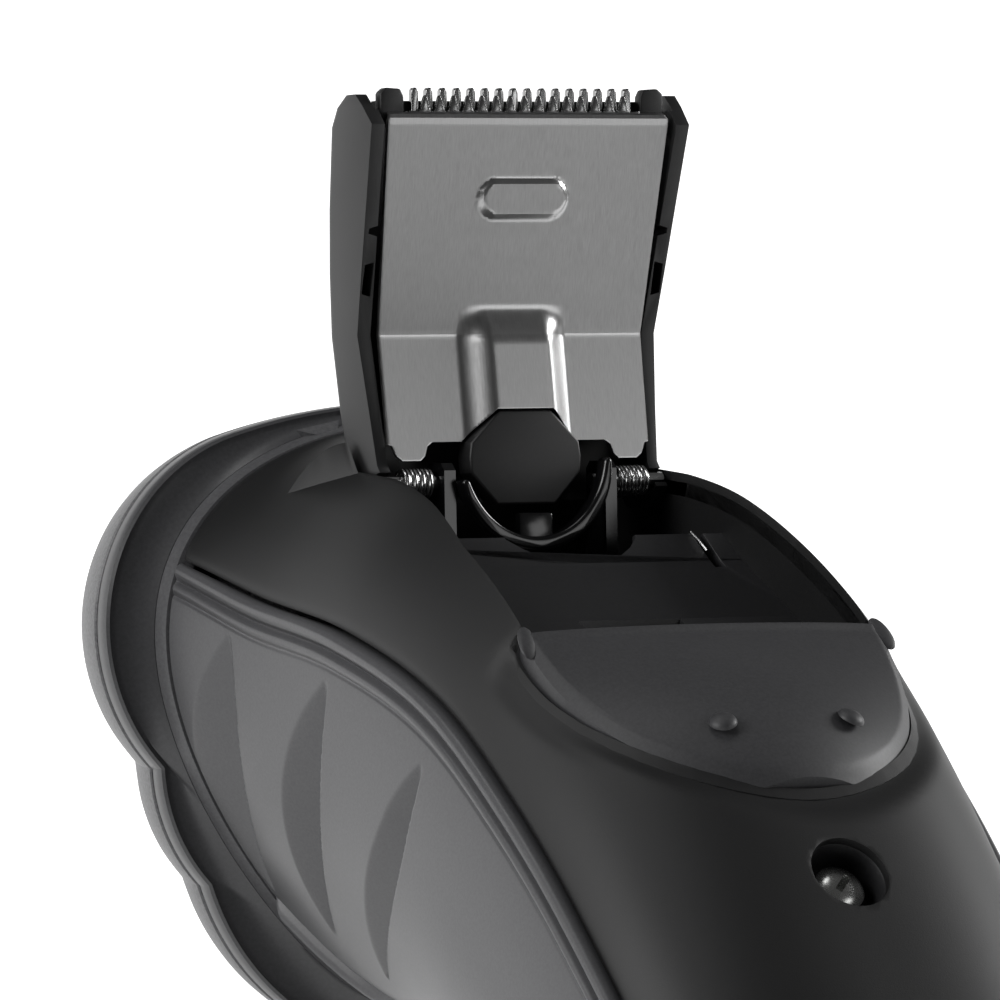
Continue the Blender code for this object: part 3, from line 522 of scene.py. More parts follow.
def scallop_depth(t, angle):
    """Depth of the finger cuts: deepening from the front edge to a step at the rear edge."""
    for (upper_t, upper_angle), (lower_t, lower_angle), front_bow, rear_bow in SCALLOPS:
        if upper_angle < angle < lower_angle:
            along = (angle - upper_angle) / (lower_angle - upper_angle)
            deep = SCALLOP_DEPTH * math.sin(math.pi * along) ** 0.8
            chord = upper_t + (lower_t - upper_t) * along
            bow = 4 * along * (1 - along)
            front, rear = max(chord + front_bow * bow, 0.02), chord + rear_bow * bow
            across = (t - front) / max(rear - front, 0.01)
            if 0.0 < across <= 1.0:
                return deep * min(across * 1.25, 1.0) ** 1.1
            if 1.0 < across and t < rear + SCALLOP_STEP:
                return deep * (1 - (t - rear) / SCALLOP_STEP)
    return 0.0


def grip_stations(fine_end=3.42, fine=260, coarse=60):
    """Stations down the grip, close together as far as the finger cuts reach."""
    near = [NECK_START + (fine_end - NECK_START) * i / fine for i in range(fine + 1)]
    return near + [fine_end + (TAIL - fine_end) * i / coarse for i in range(1, coarse + 1)]


def grip_angles(t, columns=120, edge_columns=34):
    """Angles down the side, close together over the beads so that they keep their true width."""
    top, low = flow(UPPER_EDGE, t) + 0.4, flow(LOWER_EDGE, t) - 0.4
    span = (body_point(t, low) - body_point(t, top)).length * 1.12
    reach = BEADS_WIDTH / span * (low - top)
    shares = [i / edge_columns for i in range(edge_columns)]
    upper = [(top + reach * share, BEADS_WIDTH * share, None) for share in shares]
    middle = [(top + reach + (low - top - 2 * reach) * i / columns, None, None) for i in range(columns + 1)]
    lower = [(low - reach * share, None, BEADS_WIDTH * share) for share in shares]
    return upper + middle + lower[::-1]


for way, node in ((-1, "left_grip_panel"), (1, "right_grip_panel")):
    outer, inner = [], []
    for t in grip_stations():
        outer.append([])
        inner.append([])
        for angle, from_top, from_low in grip_angles(t):
            point, out = body_point(t, way * angle), body_normal(t, way * angle)
            if from_top is not None:
                height = between(UPPER_BEADS, from_top)
            elif from_low is not None:
                height = between(LOWER_BEADS, from_low)
            else:
                height = -scallop_depth(t, angle)
            start = min(1.0, (t - NECK_START) / 0.06) ** 0.5
            outer[-1].append(point + out * (height * start if height > 0 else height))
            inner[-1].append(point - out * GRIP_INSIDE)
    grip = sheet_solid(node + "_fine", outer, inner, grey_abs)
    fit(grip, "body", node, crease=60)

# ------------------------------------------------------------------ front shell and tail cap
# Smooth black ABS front shell with the power button and charge lens let into it, and the
# tail cap that closes the handle round the charge inlet.
front_abs = moulded("black_smooth_abs", "#232325", "#1b1b1d", 0.28, 0.4, 0.003)
outer, inner = [], []
rows, wide = 110, 70
for i in range(rows + 1):
    t = NECK_START + (TAIL - NECK_START) * i / rows
    edge = flow(LOWER_EDGE, t) + SEAM
    outer.append([])
    inner.append([])
    for j in range(wide + 1):
        angle = edge + (360 - 2 * edge) * j / wide
        point, out = body_point(t, angle), body_normal(t, angle)
        rim = min(j, wide - j)
        outer[-1].append(point - out * 0.2 * math.exp(-rim * 1.2))
        inner[-1].append(point - out * SKIN)
front = sheet_solid("front_shell_fine", outer, inner, front_abs)
BUTTON_AND_LENS = ((4.6, 5.4), (5.7, 1.6))
for t, radius in BUTTON_AND_LENS:
    hole = round_stack("tool", body_point(t, 180.0), body_normal(t, 180.0), ((radius, -5.0), (radius, 5.0)))
    cut(front, hole)
soften(front, 0.2, 2, 50)
fit(front, "body", "front_shell")

INLET_HOLE = 3.9
end = [body_point(TAIL, 360 * i / 120) for i in range(120)]
middle = sum(end, Vector()) / len(end)
reach = (body_point(TAIL, 0) - body_point(TAIL - 0.3, 0) + body_point(TAIL, 180)
         - body_point(TAIL - 0.3, 180)).normalized()
cap_rings = []
for along, scale in ((0.35, 0.97), (0.5, 0.985), (1.4, 0.985), (2.6, 0.968), (3.8, 0.94), (4.9, 0.9),
                     (5.8, 0.85), (6.3, 0.79), (6.4, 0.74)):
    cap_rings.append([middle + (p - middle) * scale + reach * along for p in end])
cap = loop_solid("tail_cap_fine", cap_rings, front_abs)
cut(cap, round_stack("tool", middle, reach, ((INLET_HOLE, -3.0), (INLET_HOLE, 9.0)), count=48))
soften(cap, 0.25, 2, 60)
fit(cap, "body", "tail_cap")

# ------------------------------------------------------------------ shaving head
# The head is a rounded three-lobed pan on a grey neck collar: a smooth dark cup behind, and a
# front frame of eroded grey ABS that carries the three cutting units.
HEAD_CORNERS = ((0.0, 8.0), (18.6, 5.3), (27.1, -26.7), (22.3, -38.0), (0.0, -54.4))
HEAD_RADII = (65.4, 19.2, 17.0, 23.4)
HEAD_STEPS = (30, 60, 20, 44)
CENTRES = {"left": (-16.5, -11.0), "right": (16.5, -11.0), "lower": (0.0, -38.0)}


def arc_to(start, end, radius, steps):
    """Points from start up to, but without, end on an arc that turns clockwise in x, z."""
    dx = end[0] - start[0]
    dz = end[1] - start[1]
    chord = math.hypot(dx, dz)
    half = math.asin(chord / 2 / radius)
    depth = radius * math.cos(half) / chord
    x = (start[0] + end[0]) / 2 + dz * depth
    z = (start[1] + end[1]) / 2 - dx * depth
    first = math.atan2(start[1] - z, start[0] - x)
    turns = [first - 2 * half * k / steps for k in range(steps)]
    return [(x + radius * math.cos(a), z + radius * math.sin(a)) for a in turns]


def head_ring(inset, y):
    """The head's outline at a depth, moved inwards; its lobes meet at corners."""
    half = []
    for i, (radius, steps) in enumerate(zip(HEAD_RADII, HEAD_STEPS)):
        half += arc_to(HEAD_CORNERS[i], HEAD_CORNERS[i + 1], radius, steps)
    ring = mirrored(half + [HEAD_CORNERS[-1]])
    moved = []
    for i, (x, z) in enumerate(ring):
        before, after = ring[i - 3], ring[(i + 3) % len(ring)]
        dx, dz = after[0] - before[0], after[1] - before[1]
        size = math.hypot(dx, dz)
        moved.append((x + dz / size * inset, y, z - dx / size * inset))
    return moved


def neck_ring(inset, y):
    """Ring on the neck's section with as many points as the head's outline."""
    count = len(head_ring(0, 0))
    ring = []
    for i in range(count):
        point = body_point(0.0, 360.0 * i / count)
        out = Vector((point.x, 0.0, point.z + 22.0)).normalized()
        ring.append((point.x - out.x * inset, y, point.z - out.z * inset))
    return ring


collar_acetal = moulded("grey_acetal", "#5e5e60", "#4e4e50", 0.42, 0.34, 0.02)
frame_abs = moulded("grey_eroded_abs", "#6c6c6e", "#4e4e50", 0.42, 0.36, 0.03)
cup_abs = moulded("dark_satin_abs", "#48484a", "#404042", 0.36, 0.35, 0.006)
COLLAR = ((0.0, 20.05), (-0.08, 20.08), (-0.5, 21.4), (-0.5, 21.6), (1.6, 21.6), (1.6, 20.05))
collar = loop_solid("neck_collar_fine", [neck_ring(*level) for level in COLLAR], collar_acetal, tube=True)
fit(collar, "body", "neck_collar", crease=30)
for way in (-1, 1):
    facet = [(-12.8, 21.7, 5.4), (-8.2, 21.7, 6.3), (-9.2, 19.9, 4.4), (-10.2, 21.7, 2.6)]
    gusset = solid("collar_gusset", [(-way * x, y, z) for x, y, z in facet],
                   [(0, 1, 2), (0, 2, 3), (1, 3, 2), (0, 3, 1)], collar_acetal)
    fit(gusset, "body")
cup_rings = [neck_ring(2.0, 22.9), neck_ring(1.0, 21.9), neck_ring(0.2, 21.75)]
start, stop = neck_ring(-0.5, 21.75), head_ring(0.8, 23.1)
for k in range(13):
    f = k / 12
    dip = 0.3 * math.sin(math.pi * f)
    cup_rings.append([tuple(a + (b - a) * f + (dip if n == 1 else 0) for n, (a, b) in enumerate(zip(p, q)))
                      for p, q in zip(start, stop)])
CUP_RIM = ((0.35, 23.02), (0.08, 23.25), (0.0, 23.7), (0.0, 25.0), (0.15, 25.25), (0.5, 25.3), (2.4, 25.3),
           (3.0, 24.6))
cup_rings += [head_ring(*level) for level in CUP_RIM]
cup = loop_solid("head_cup_fine", cup_rings, cup_abs)
fit(cup, "body", "head_rear_frame", crease=32)
BAND = ((0.5, 25.55), (0.2, 25.6), (0.05, 25.8), (0.15, 26.8), (0.5, 28.5), (0.95, 30.2), (1.3, 31.2),
        (1.65, 32.0), (1.9, 32.4), (2.2, 32.6))
GUARD_OPENING = 13.0
band = loop_solid("head_frame_fine", [head_ring(*level) for level in BAND], frame_abs)
cut(band, prism("tool", [(x, z) for x, _, z in head_ring(3.0, 0)], (22.0, 30.6), face))
for x, z in CENTRES.values():
    circle = [(x + GUARD_OPENING * math.cos(a), z + GUARD_OPENING * math.sin(a)) for a in circle_turns(96)]
    cut(band, prism("tool", circle, (28.0, 38.0), face))
soften(band, 0.3, 2, 60)
fit(band, "head_front", "head_front_frame")

# ------------------------------------------------------------------ cutting units
# Each unit is a stainless guard with fine radial slots round a moulded cap, over a steel
# cutter with raised blades that a grey acetal spindle and gear turn from behind.
def steel(name, colour, dark, rough, line, way):
    """Stainless steel finished with a belt or wheel: fine grooves line mm apart along one way,
    which spread the highlight across them."""
    made, tree, shader = empty_material(name, Metallic=1.0)
    spot = add(tree, "ShaderNodeTexCoord")
    squeeze = add(tree, "ShaderNodeMapping", {"Vector": spot.outputs["Object"]})
    squeeze.inputs["Scale"].default_value = way
    groove = add(tree, "ShaderNodeTexNoise", {"Vector": squeeze.outputs["Vector"], "Scale": 1 / (line * MM),
                                              "Detail": 4.0})
    tint = add(tree, "ShaderNodeValToRGB", {"Fac": groove.outputs["Fac"]})
    tint.color_ramp.elements[0].color = linear(dark)
    tint.color_ramp.elements[1].color = linear(colour)
    tree.links.new(tint.outputs["Color"], shader.inputs["Base Color"])
    gloss = add(tree, "ShaderNodeMapRange", {"Value": groove.outputs["Fac"], "To Min": rough - 0.05,
                                             "To Max": rough + 0.08})
    tree.links.new(gloss.outputs["Result"], shader.inputs["Roughness"])
    bump = add(tree, "ShaderNodeBump", {"Height": groove.outputs["Fac"], "Strength": 0.35,
                                        "Distance": 0.01 * MM})
    tree.links.new(bump.outputs["Normal"], shader.inputs["Normal"])
    return made


def spun(name, centre, profile, count, paint, tube=False):
    """A turned piece of the head: (radius, y) levels round a centre in x, z."""
    x, z = centre
    rings = [[(x + radius * math.cos(a), y, z + radius * math.sin(a)) for a in circle_turns(count)]
             for radius, y in profile]
    return loop_solid(name, rings, paint, tube)


GUARD = ((5.0, 34.0), (5.2, 34.2), (10.8, 34.2), (11.7, 34.1), (12.3, 33.8), (12.6, 33.3), (12.6, 30.0),
         (11.4, 30.0), (11.4, 33.0), (10.9, 33.6), (5.0, 33.6))
GUARD_CAP = ((4.7, 33.2), (4.7, 34.0), (4.5, 34.3), (3.9, 34.45), (2.2, 34.5), (0.4, 34.5))
CUTTER = ((0.3, 31.2), (6.2, 31.2), (6.2, 32.3), (6.4, 32.4), (9.4, 32.4), (9.6, 32.2), (9.6, 31.2),
          (8.4, 29.4), (3.0, 29.0), (0.3, 29.0))
SLOT_SIZE = (5.0, 1.4, 0.3, 1)
SLOT_RADIUS = 8.2
SLOT_LEVEL = 33.9
guard_steel = steel("polished_stainless", "#cfcfcf", "#bdbdbd", 0.2, 0.08, (1, 1, 1))
for word, (x, z) in CENTRES.items():
    guard = spun("guard_%s_fine" % word, (x, z), GUARD, 144, guard_steel, tube=True)
    slots = bmesh.new()
    for a in circle_turns(48):
        turn = Matrix.Translation((x, SLOT_LEVEL, z)) @ Matrix.Rotation(a, 4, "Y")
        slot_at = turn @ Matrix.Translation((SLOT_RADIUS, 0, 0)) @ Matrix.Diagonal(SLOT_SIZE)
        bmesh.ops.create_cube(slots, matrix=slot_at)
    tool_mesh = bpy.data.meshes.new("slots")
    slots.transform(STAND @ Matrix.Diagonal((MM, MM, MM, 1)))
    slots.to_mesh(tool_mesh)
    slots.free()
    tool = bpy.data.objects.new("slots", tool_mesh)
    bpy.context.collection.objects.link(tool)
    cut(guard, tool)
    fit(guard, "guard_" + word, "guard_" + word)
    hat = spun("guard_cap_%s_fine" % word, (x, z), GUARD_CAP, 64, frame_abs)
    fit(hat, "guard_" + word, "guard_cap_" + word)
    rotor = spun("cutter_%s_fine" % word, (x, z), CUTTER, 96, guard_steel)
    fit(rotor, "rotor_" + word, "cutter_" + word)

# ------------------------------------------------------------------ recess floor
# Black moulded floor under the folded trimmer.  It steps down to the hinge, with a notch for
# the drive block, a pocket for the latch and posts for the hinge pins.
inner_abs = moulded("inner_black_abs", "#1c1c1e", "#151517", 0.5, 0.3, 0.008)
FLOOR = ((9.6, -10.0), (9.0, -10.6), (-7.8, -10.8), (-8.5, -10.2), (-8.9, -5.3), (-9.4, -5.15),
         (-12.6, -7.75), (-20.5, -12.95), (-30.5, -18.0), (-34.5, -21.0))
FLOOR_THICKNESS = 1.6
BLOCK_NOTCH = ((6.9, -6.0), (6.9, -9.6), (5.6, -10.8), (2.6, -12.6))
SPRING_SLOT = ((13.0, -7.0), (14.1, -7.0), (14.4, -13.4), (13.3, -13.4))
floor_line = list(FLOOR) + [(y, z - FLOOR_THICKNESS) for y, z in reversed(FLOOR)]
tray = prism("recess_floor_fine", floor_line, (-19.5, 19.5), side, inner_abs)
cut(tray, body_core(2.0), "INTERSECT")
cut(tray, prism("tool", mirrored(BLOCK_NOTCH), (-12.0, -3.0), plan))
cut(tray, prism("tool", mirrored(((5.4, -20.5), (5.4, -27.0))), (-24.0, -6.0), plan))
cut(tray, prism("tool", SPRING_SLOT, (-20.0, -3.0), plan))
soften(tray, 0.15, 2, 30)
fit(tray, "body", "recess_floor")
pocket = prism("latch_pocket", mirrored(((6.2, -19.8), (6.2, -27.7))), (-19.4, -18.0), plan, inner_abs)
fit(pocket, "body")

# ------------------------------------------------------------------ hinge, springs and yoke
# Steel stub pins in moulded posts, each with a torsion spring of 0.4 mm wire that flips the
# trimmer up, and the black yoke that shakes the drive block.
COIL_FROM, COIL_TO = 9.9, 13.1
COIL_RADIUS = 1.34
COIL_TURNS, COIL_MARKS = 8, 24
SPRING_LEG = ((13.1, -8.4, -6.8), (13.1, -9.2, -5.0), (13.3, -10.4, -5.85), (13.4, -11.6, -6.8))
pin_steel = steel("drawn_stainless", "#d2d2d2", "#bdbdbd", 0.2, 0.06, (1, 1, 1))
for way, word in ((-1, "left"), (1, "right")):
    path = []
    for i in range(COIL_TURNS * COIL_MARKS + 1):
        a = 2 * math.pi * i / COIL_MARKS
        x = way * (COIL_FROM + (COIL_TO - COIL_FROM) * i / (COIL_TURNS * COIL_MARKS))
        path.append((x, COIL_RADIUS * math.cos(a), COIL_RADIUS * math.sin(a)))
    leg = [(way * x, y, z) for x, y, z in SPRING_LEG]
    bar = bpy.data.curves.new("trimmer_spring_%s_wire" % word, "CURVE")
    bar.dimensions = "3D"
    bar.bevel_depth = 0.14 * MM
    bar.bevel_resolution = 3
    bar.use_fill_caps = True
    for run in (path, leg):
        line = bar.splines.new("POLY")
        line.points.add(len(run) - 1)
        for point, place in zip(line.points, run):
            point.co = (*(STAND @ (Vector(place) * MM)), 1.0)
    drawn = bpy.data.objects.new("wire", bar)
    bpy.context.collection.objects.link(drawn)
    mesh = bpy.data.meshes.new_from_object(drawn)
    bpy.data.objects.remove(drawn, do_unlink=True)
    mesh.materials.clear()
    mesh.materials.append(pin_steel)
    spring = bpy.data.objects.new("trimmer_spring_%s_fine" % word, mesh)
    bpy.context.collection.objects.link(spring)
    fit(spring, "body", "trimmer_spring_" + word)

# Gloss black acetal for the yoke and its peg; the hinge posts below also take it as painted shade for the
# shadow under the hinge.
black_acetal_and_post_shade = moulded("gloss_black_acetal_and_painted_shade", "#0c0c0d", "#080809", 0.2, 0.5, 0.004)
arc = []
for k in range(41):
    a = math.radians(-172 + 178 * k / 40)
    reach = 1.0 - 0.55 * abs(k / 20 - 1) ** 3
    arc.append((7.9 * math.cos(a), 1.4 + 7.9 * math.sin(a), reach))
rim = [(x * 1.02, z) for x, z, w in arc]
inside = [(x * (1 - 0.17 * w), 1.4 + (z - 1.4) * (1 - 0.17 * w)) for x, z, w in reversed(arc)]
yoke = prism("drive_yoke", rim + inside, (-3.4, -1.6), face, black_acetal_and_post_shade)
soften(yoke, 0.45, 3, 40)
fit(yoke, "body", "drive_fork")
peg_line = ((-1.8, -6.2), (1.8, -6.2), (1.8, -2.9), (-1.8, -2.9))
peg = prism("yoke_peg", peg_line, (-2.9, -1.7), face, black_acetal_and_post_shade)
soften(peg, 0.3, 2)
fit(peg, "body")

# ------------------------------------------------------------------ trimmer cover
# Black ABS cover with a side arm to each hinge pin, pocketed behind the steel plate.  The arms
# end in square cut edges, with two moulding cut-outs down the inner edge of each.
# Sections up the cover: height, near y, far y and half width
COVER = ((-2.6, 0.8, 4.4, 15.0), (-0.6, -1.4, 6.6, 15.0), (1.8, 0.6, 7.6, 15.0), (7.0, 1.4, 8.5, 15.35),
         (14.0, 2.4, 8.9, 15.9), (20.0, 0.62, 8.4, 16.25), (26.0, -1.15, 7.6, 16.55),
         (33.6, -3.4, 6.0, 16.95), (35.4, -1.7, 4.6, 17.05), (36.5, -0.4, 2.6, 17.1))
CORNER = 1.6
COVER_POCKET = ((15.55, 39.0), (15.55, 33.0), (14.5, 14.0), (13.5, -6.0))
COVER_MOUTH = ((15.9, 40.0), (15.9, 35.0))
HINGE_BORE = 1.1
cover_rings = []
for z, near, far, half in COVER:
    ring = [(half * s, near, z) for s in (-1.0, -0.5, 0.0, 0.5, 1.0)]
    for k in range(1, 7):
        a = math.pi / 2 * k / 6
        ring.append((half - CORNER + CORNER * math.cos(a), far - CORNER + CORNER * math.sin(a), z))
    for s in (0.5, 0.0, -0.5):
        ring.append((half * s, far + 0.9 * (1 - s * s) * (1 if z > 2 else 0.2), z))
    for k in range(1, 7):
        a = math.pi / 2 * (1 - k / 6)
        ring.append((-(half - CORNER + CORNER * math.cos(a)), far - CORNER + CORNER * math.sin(a), z))
    cover_rings.append(ring)
cover = loop_solid("trimmer_cover_fine", cover_rings, black_abs)
cut(cover, prism("tool", mirrored(COVER_POCKET), (-8.0, 5.4), face))
cut(cover, prism("tool", mirrored(COVER_MOUTH), (-8.0, 9.0), face))
bore = [(HINGE_BORE * math.cos(a), HINGE_BORE * math.sin(a)) for a in circle_turns(32)]
cut(cover, prism("tool", bore, (-20.0, 20.0), side))
for way in (-1, 1):
    for low, high in ((17.6, 20.8), (23.2, 24.2)):
        slot_line = ((15.0, low), (15.95, low + 0.25), (15.95, high - 0.25), (15.0, high))
        cut(cover, prism("tool", [(way * x, z) for x, z in slot_line], (-6.0, 3.4), face))
soften(cover, 0.3, 3, 40)
fit(cover, "trimmer", "trimmer_cover")

# ------------------------------------------------------------------ trimmer plate
# Pressed stainless plate, brushed from end to end.  It is bent across the middle, with a raised
# channel over the drive block, a pressed location boss and two tabs at the hinge.
plate_steel = steel("brushed_stainless", "#b4b4b4", "#9b9b9b", 0.30, 0.10, (1.0, 0.10, 0.10))
PLATE = ((2.0, 0.10), (3.9, 0.35), (13.6, 1.62), (14.0, 1.66), (14.4, 1.58), (33.6, -2.85), (34.2, -2.95),
         (34.55, -2.8), (34.75, -2.4))


def plate_lift(x, z):
    """Height pressed out of the plate: the channel and the location boss."""
    channel = 1.9 * eased((5.9 - abs(x)) / 3.1) * eased((16.8 - z) / 3.6)
    gap = math.hypot(max(abs(x) - 2.9, 0), z - 26.7)
    boss = 0.5 * eased((1.95 - gap) / 0.55)
    return max(channel, boss)


near_rows, far_rows = [], []
levels = sorted(set([z for z, _ in PLATE] + [2.0 + 0.28 * i for i in range(116)]))
for z in levels:
    y = between(PLATE, z)
    half = 13.9 + (z - 3.9) / 10.1 * 0.1 if z < 14 else 14.0 + (z - 14) / 20.5 * 0.95
    if z > 34.0:
        half -= (z - 34.0) * 0.5
    near_rows.append([])
    far_rows.append([])
    for k in range(121):
        x = half * (k / 60 - 1)
        lift = plate_lift(x, z)
        near_rows[-1].append((x, y - lift, z))
        far_rows[-1].append((x, y - lift * 0.98 + 0.5, z - 0.02))
plate = sheet_solid("trimmer_plate_fine", near_rows, far_rows, plate_steel)
LOWER_CUT = ((3.0, 6.95), (6.1, 3.9), (9.2, 3.9), (9.8, 3.5), (10.1, 2.6), (10.6, 2.15), (12.5, 2.15),
             (13.1, 2.6), (13.5, 3.6), (16.0, 4.2), (16.0, -3.0))
cut(plate, prism("tool", mirrored(LOWER_CUT), (-6.0, 8.0), face))
soften(plate, 0.1, 2, 50)
fit(plate, "trimmer", "trimmer_plate", crease=30)

# ------------------------------------------------------------------ comb and moving blade
# The comb is a ground steel bar with rounded guard teeth between two wide end blocks; the
# moving blade in front of it has a row of short pointed teeth at the same pitch.
PITCH = 1.51
COMB_TEETH, BLADE_TEETH = 16, 15
TIP_HALF = 0.37
tooth_steel = steel("ground_stainless", "#a8a8a8", "#8c8c8c", 0.18, 0.08, (1, 1, 1))
comb_line = [(-12.4, 33.6), (-12.4, 34.9)]
for k in range(COMB_TEETH):
    x = (k - (COMB_TEETH - 1) / 2) * PITCH
    comb_line += [(x - 0.40, 34.9), (x - TIP_HALF, 36.5)]
    half_circle = [math.pi * i / 8 for i in range(9)]
    comb_line += [(x - TIP_HALF * math.cos(a), 36.72 + 0.42 * math.sin(a)) for a in half_circle]
    comb_line += [(x + TIP_HALF, 36.5), (x + 0.40, 34.9)]
comb_line += [(12.4, 34.9), (12.4, 33.6)]
comb = prism("trimmer_comb_fine", comb_line, (-1.5, -0.75), face, tooth_steel)
soften(comb, 0.2, 3, 25)
fit(comb, "trimmer", "trimmer_comb")
for way, word in ((-1, "left"), (1, "right")):
    ends = ((12.6, 33.6), (12.6, 36.3), (12.95, 37.0), (14.5, 37.1), (15.1, 36.6), (15.1, 33.6))
    block = prism("comb_end_%s_fine" % word, [(way * x, z) for x, z in ends], (-1.7, -0.5), face, black_abs)
    soften(block, 0.2, 3, 25)
    fit(block, "trimmer", "comb_end_" + word)
carrier = prism("comb_carrier", mirrored(((14.9, 33.4), (14.9, 35.9))), (-0.6, 0.6), face, black_abs)
fit(carrier, "trimmer")
blade_line = [(-12.3, 33.9), (-12.3, 34.95)]
for k in range(BLADE_TEETH):
    x = (k - (BLADE_TEETH - 1) / 2) * PITCH
    blade_line += [(x - 0.62, 34.85), (x - 0.42, 35.1), (x - 0.3, 35.8), (x - 0.12, 36.35),
                   (x + 0.12, 36.4), (x + 0.3, 35.8), (x + 0.42, 35.1), (x + 0.62, 34.85)]
blade_line += [(12.3, 34.95), (12.3, 33.9)]
blade = prism("trimmer_blade_fine", blade_line, (-2.15, -1.65), face, tooth_steel)
soften(blade, 0.12, 2, 25)
fit(blade, "moving_blade", "trimmer_blade")

# ------------------------------------------------------------------ drive block
# Black acetal block with cut corners, moulded and held in the trimmer's pocket.  It passes the
# yoke's shake up to the moving blade.
block_acetal = moulded("black_acetal", "#151516", "#101011", 0.5, 0.45, 0.003)
BLOCK = ((2.75, 6.8), (5.75, 3.8), (5.95, 2.4), (5.85, 0.9), (3.1, -2.1))
block = prism("drive_block_fine", mirrored(BLOCK), (-1.0, 1.6), face, block_acetal)
soften(block, 0.25, 3)
fit(block, "trimmer", "drive_block")

# ------------------------------------------------------------------ release button
# Half-moon thumb button in dark satin ABS with a lip along its straight edge, a rolled rim,
# two grip dots, and a rounded lug at each end that hooks into the shell.
button_abs = moulded("dark_grey_satin_abs", "#3e3e40", "#353537", 0.5, 0.32, 0.01)


def button_point(x, b, lift):
    """Point over the button's curved face, b down the back from the hinge."""
    crown = 0.4 - (5.8 * ((b - 42) / 19) ** 3 if b > 42 else 0)
    return Vector(down_back(x, b, crown - 0.00113 * (b - BUTTON_START) * x * x + lift))


outer, inner = [], []
for i in range(61):
    share = 0.97 * (1 - math.cos(math.pi / 2 * i / 60))
    b = BUTTON_START + 0.3 + BUTTON_LENGTH * share
    half = BUTTON_HALF * math.sqrt(1 - share * share)
    outer.append([])
    inner.append([])
    for j in range(81):
        s = math.sin(math.pi / 2 * (j / 40 - 1))
        x = half * s
        rim = math.hypot(share, s * math.sqrt(1 - share * share))
        lip = 0.45 * eased(1.3 - (b - BUTTON_START)) * (1 - s * s) ** 0.6
        roll = lip - 0.55 * min(max((rim - 0.955) / 0.045, 0.0), 1.0)
        outer[-1].append(button_point(x, b, roll - 0.1))
        inner[-1].append(button_point(x, b, -2.4))
button = sheet_solid("release_button_fine", outer, inner, button_abs)
soften(button, 0.25, 3, 45)
fit(button, "trimmer_release", "release_button")


def dome(name, spot, up, radius, height, paint, body, *nodes):
    """A low domed boss standing on a surface."""
    up = Vector(up).normalized()
    across = up.cross(Vector((0, 0, 1))).normalized()
    other = up.cross(across)
    rings = []
    for k in range(10):
        a = math.pi / 2 * k / 9 * 0.97
        r, h = radius * math.cos(a), height * math.sin(a)
        rings.append([Vector(spot) + up * h + across * (r * math.cos(c)) + other * (r * math.sin(c))
                      for c in circle_turns(40)])
    return fit(loop_solid(name, rings, paint), body, *nodes)


for way, word in ((-1, "left"), (1, "right")):
    spot = button_point(way * 6.6, 54.2, 0.3)
    dome("button_dot_%s_fine" % word, spot, (way * 0.24, -0.48, 0.86), 1.3, 0.75, button_abs,
         "trimmer_release", "button_dot_" + word)
    rings = []
    for k in range(13):
        a = math.pi * k / 12
        hub = button_point(way * (18.5 - 0.3 * math.cos(a)), 38.0 - 1.5 * math.cos(a), -0.35)
        radius = 0.9 * max(math.sin(a), 0.04) ** 0.7
        rings.append([hub + Vector((way * math.cos(c), 0.35 * math.sin(c), 0.9 * math.sin(c))) * radius
                      for c in circle_turns(24)])
    fit(loop_solid("button_lug_" + word, rings, button_abs), "trimmer_release")

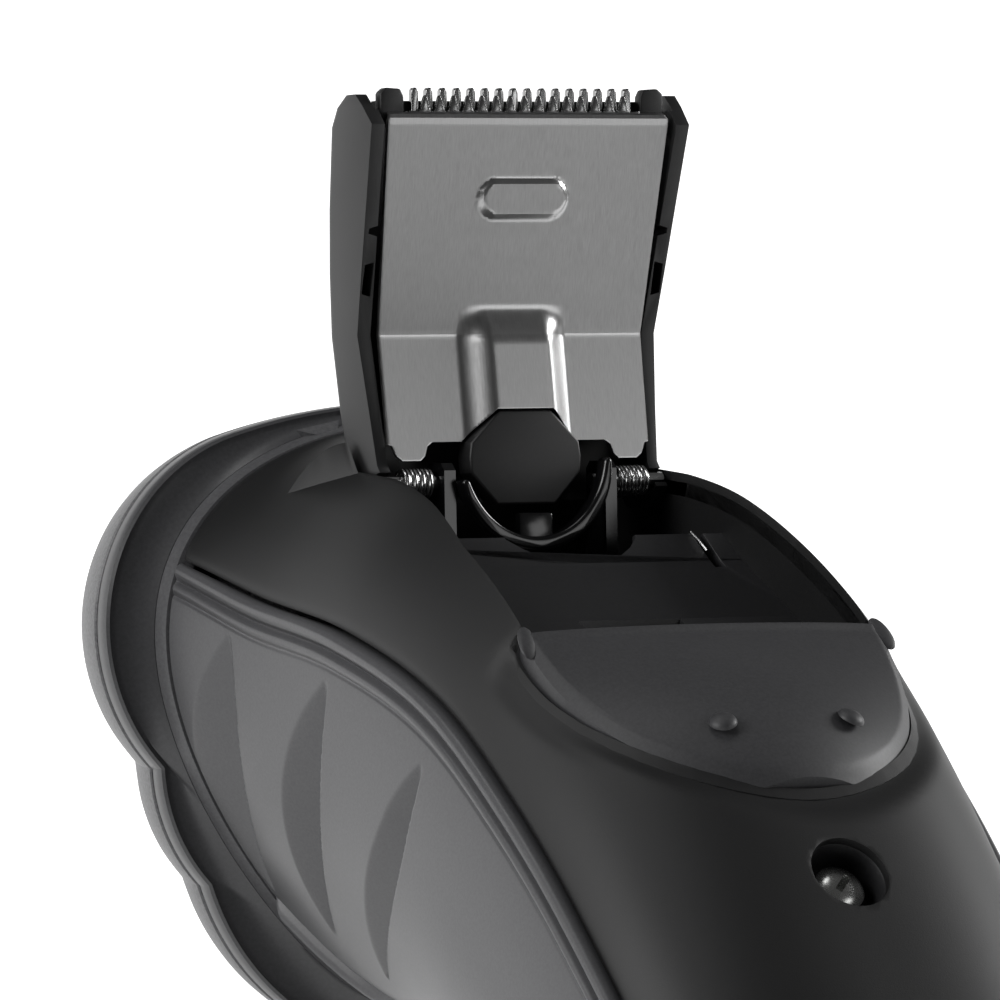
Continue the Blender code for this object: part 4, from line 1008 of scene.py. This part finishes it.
# ------------------------------------------------------------------ rear screw
# Zinc-plated steel cross-recess screw, cold headed, at the bottom of a blind well moulded in
# black ABS.  It holds the back shell to the frame inside.
WELL = ((3.75, -0.9), (3.62, -1.2), (3.62, -4.6), (0.2, -4.6), (0.2, -6.0), (4.6, -6.0), (4.6, -0.9))
SCREW_HEAD = ((0.3, -1.55), (1.1, -1.65), (1.8, -1.95), (2.35, -2.45), (2.4, -2.8), (2.4, -4.2),
              (0.3, -4.2))
CROSS = ((-0.5, 1.5), (-3.0, 0.6))
CROSS_HALF_WIDTH = 0.34
well = round_stack("screw_well_fine", screw_hub, screw_out, WELL, inner_abs, tube=True)
fit(well, "body", "screw_well")
zinc_steel = steel("zinc_plated_steel", "#c6c7c5", "#a8a9a7", 0.25, 0.1, (1, 1, 1))
head = round_stack("rear_screw_fine", screw_hub, screw_out, SCREW_HEAD, zinc_steel)
across, down = Vector((1, 0, 0)), screw_out.cross(Vector((1, 0, 0)))
for first, second in ((across, down), (down, across)):
    a, b = (first + second).normalized(), (second - first).normalized()
    box = []
    for depth, size in CROSS:
        middle = screw_hub + screw_out * depth
        box.append([middle + a * (size * i) + b * (CROSS_HALF_WIDTH * j)
                    for i, j in ((-1, -1), (1, -1), (1, 1), (-1, 1))])
    cut(head, loop_solid("tool", box))
fit(head, "body", "rear_screw")

# ------------------------------------------------------------------ parts that keep their form
# The inside works, the hinge pins and posts and the small controls keep their plain form and
# are given the finish of the real part; the hinge posts instead take the near-black yoke finish
# as painted shade, for the shadow below the hinge.
cell_sleeve = moulded("green_shrink_sleeve", "#2f7a58", "#286b4d", 0.35, 2.0, 0.01)
laminate = moulded("green_circuit_laminate", "#1f6b43", "#185636", 0.3, 0.9, 0.01)
lens_acrylic = moulded("green_tinted_acrylic", "#7fc58c", "#6fb57d", 0.12, 1.0, 0.001)
FINISHES = {
    "black_textured_abs": black_abs, "front_gloss_abs": front_abs, "grey_satin_abs": grey_abs,
    "grey_acetal": collar_acetal, "head_frame_abs": frame_abs, "head_cup_abs": cup_abs,
    "button_abs": button_abs, "inner_black_abs": inner_abs, "stainless_steel": pin_steel,
    "cell_sleeve": cell_sleeve, "circuit_laminate": laminate, "lens_acrylic": lens_acrylic,
}
slot_of = {part["node"]: part["material_slot"] for part in frame["record"]["subparts"]}
for node, piece in frame["nodes"].items():
    finish = FINISHES[slot_of[node]]
    # Painted shade: the hinge posts are painted near black for the shadow below the hinge, darker than
    # their own moulding.
    if node.startswith("hinge_post"):
        finish = black_acetal_and_post_shade
    if piece.data.materials:
        piece.data.materials[0] = finish
    else:
        piece.data.materials.append(finish)
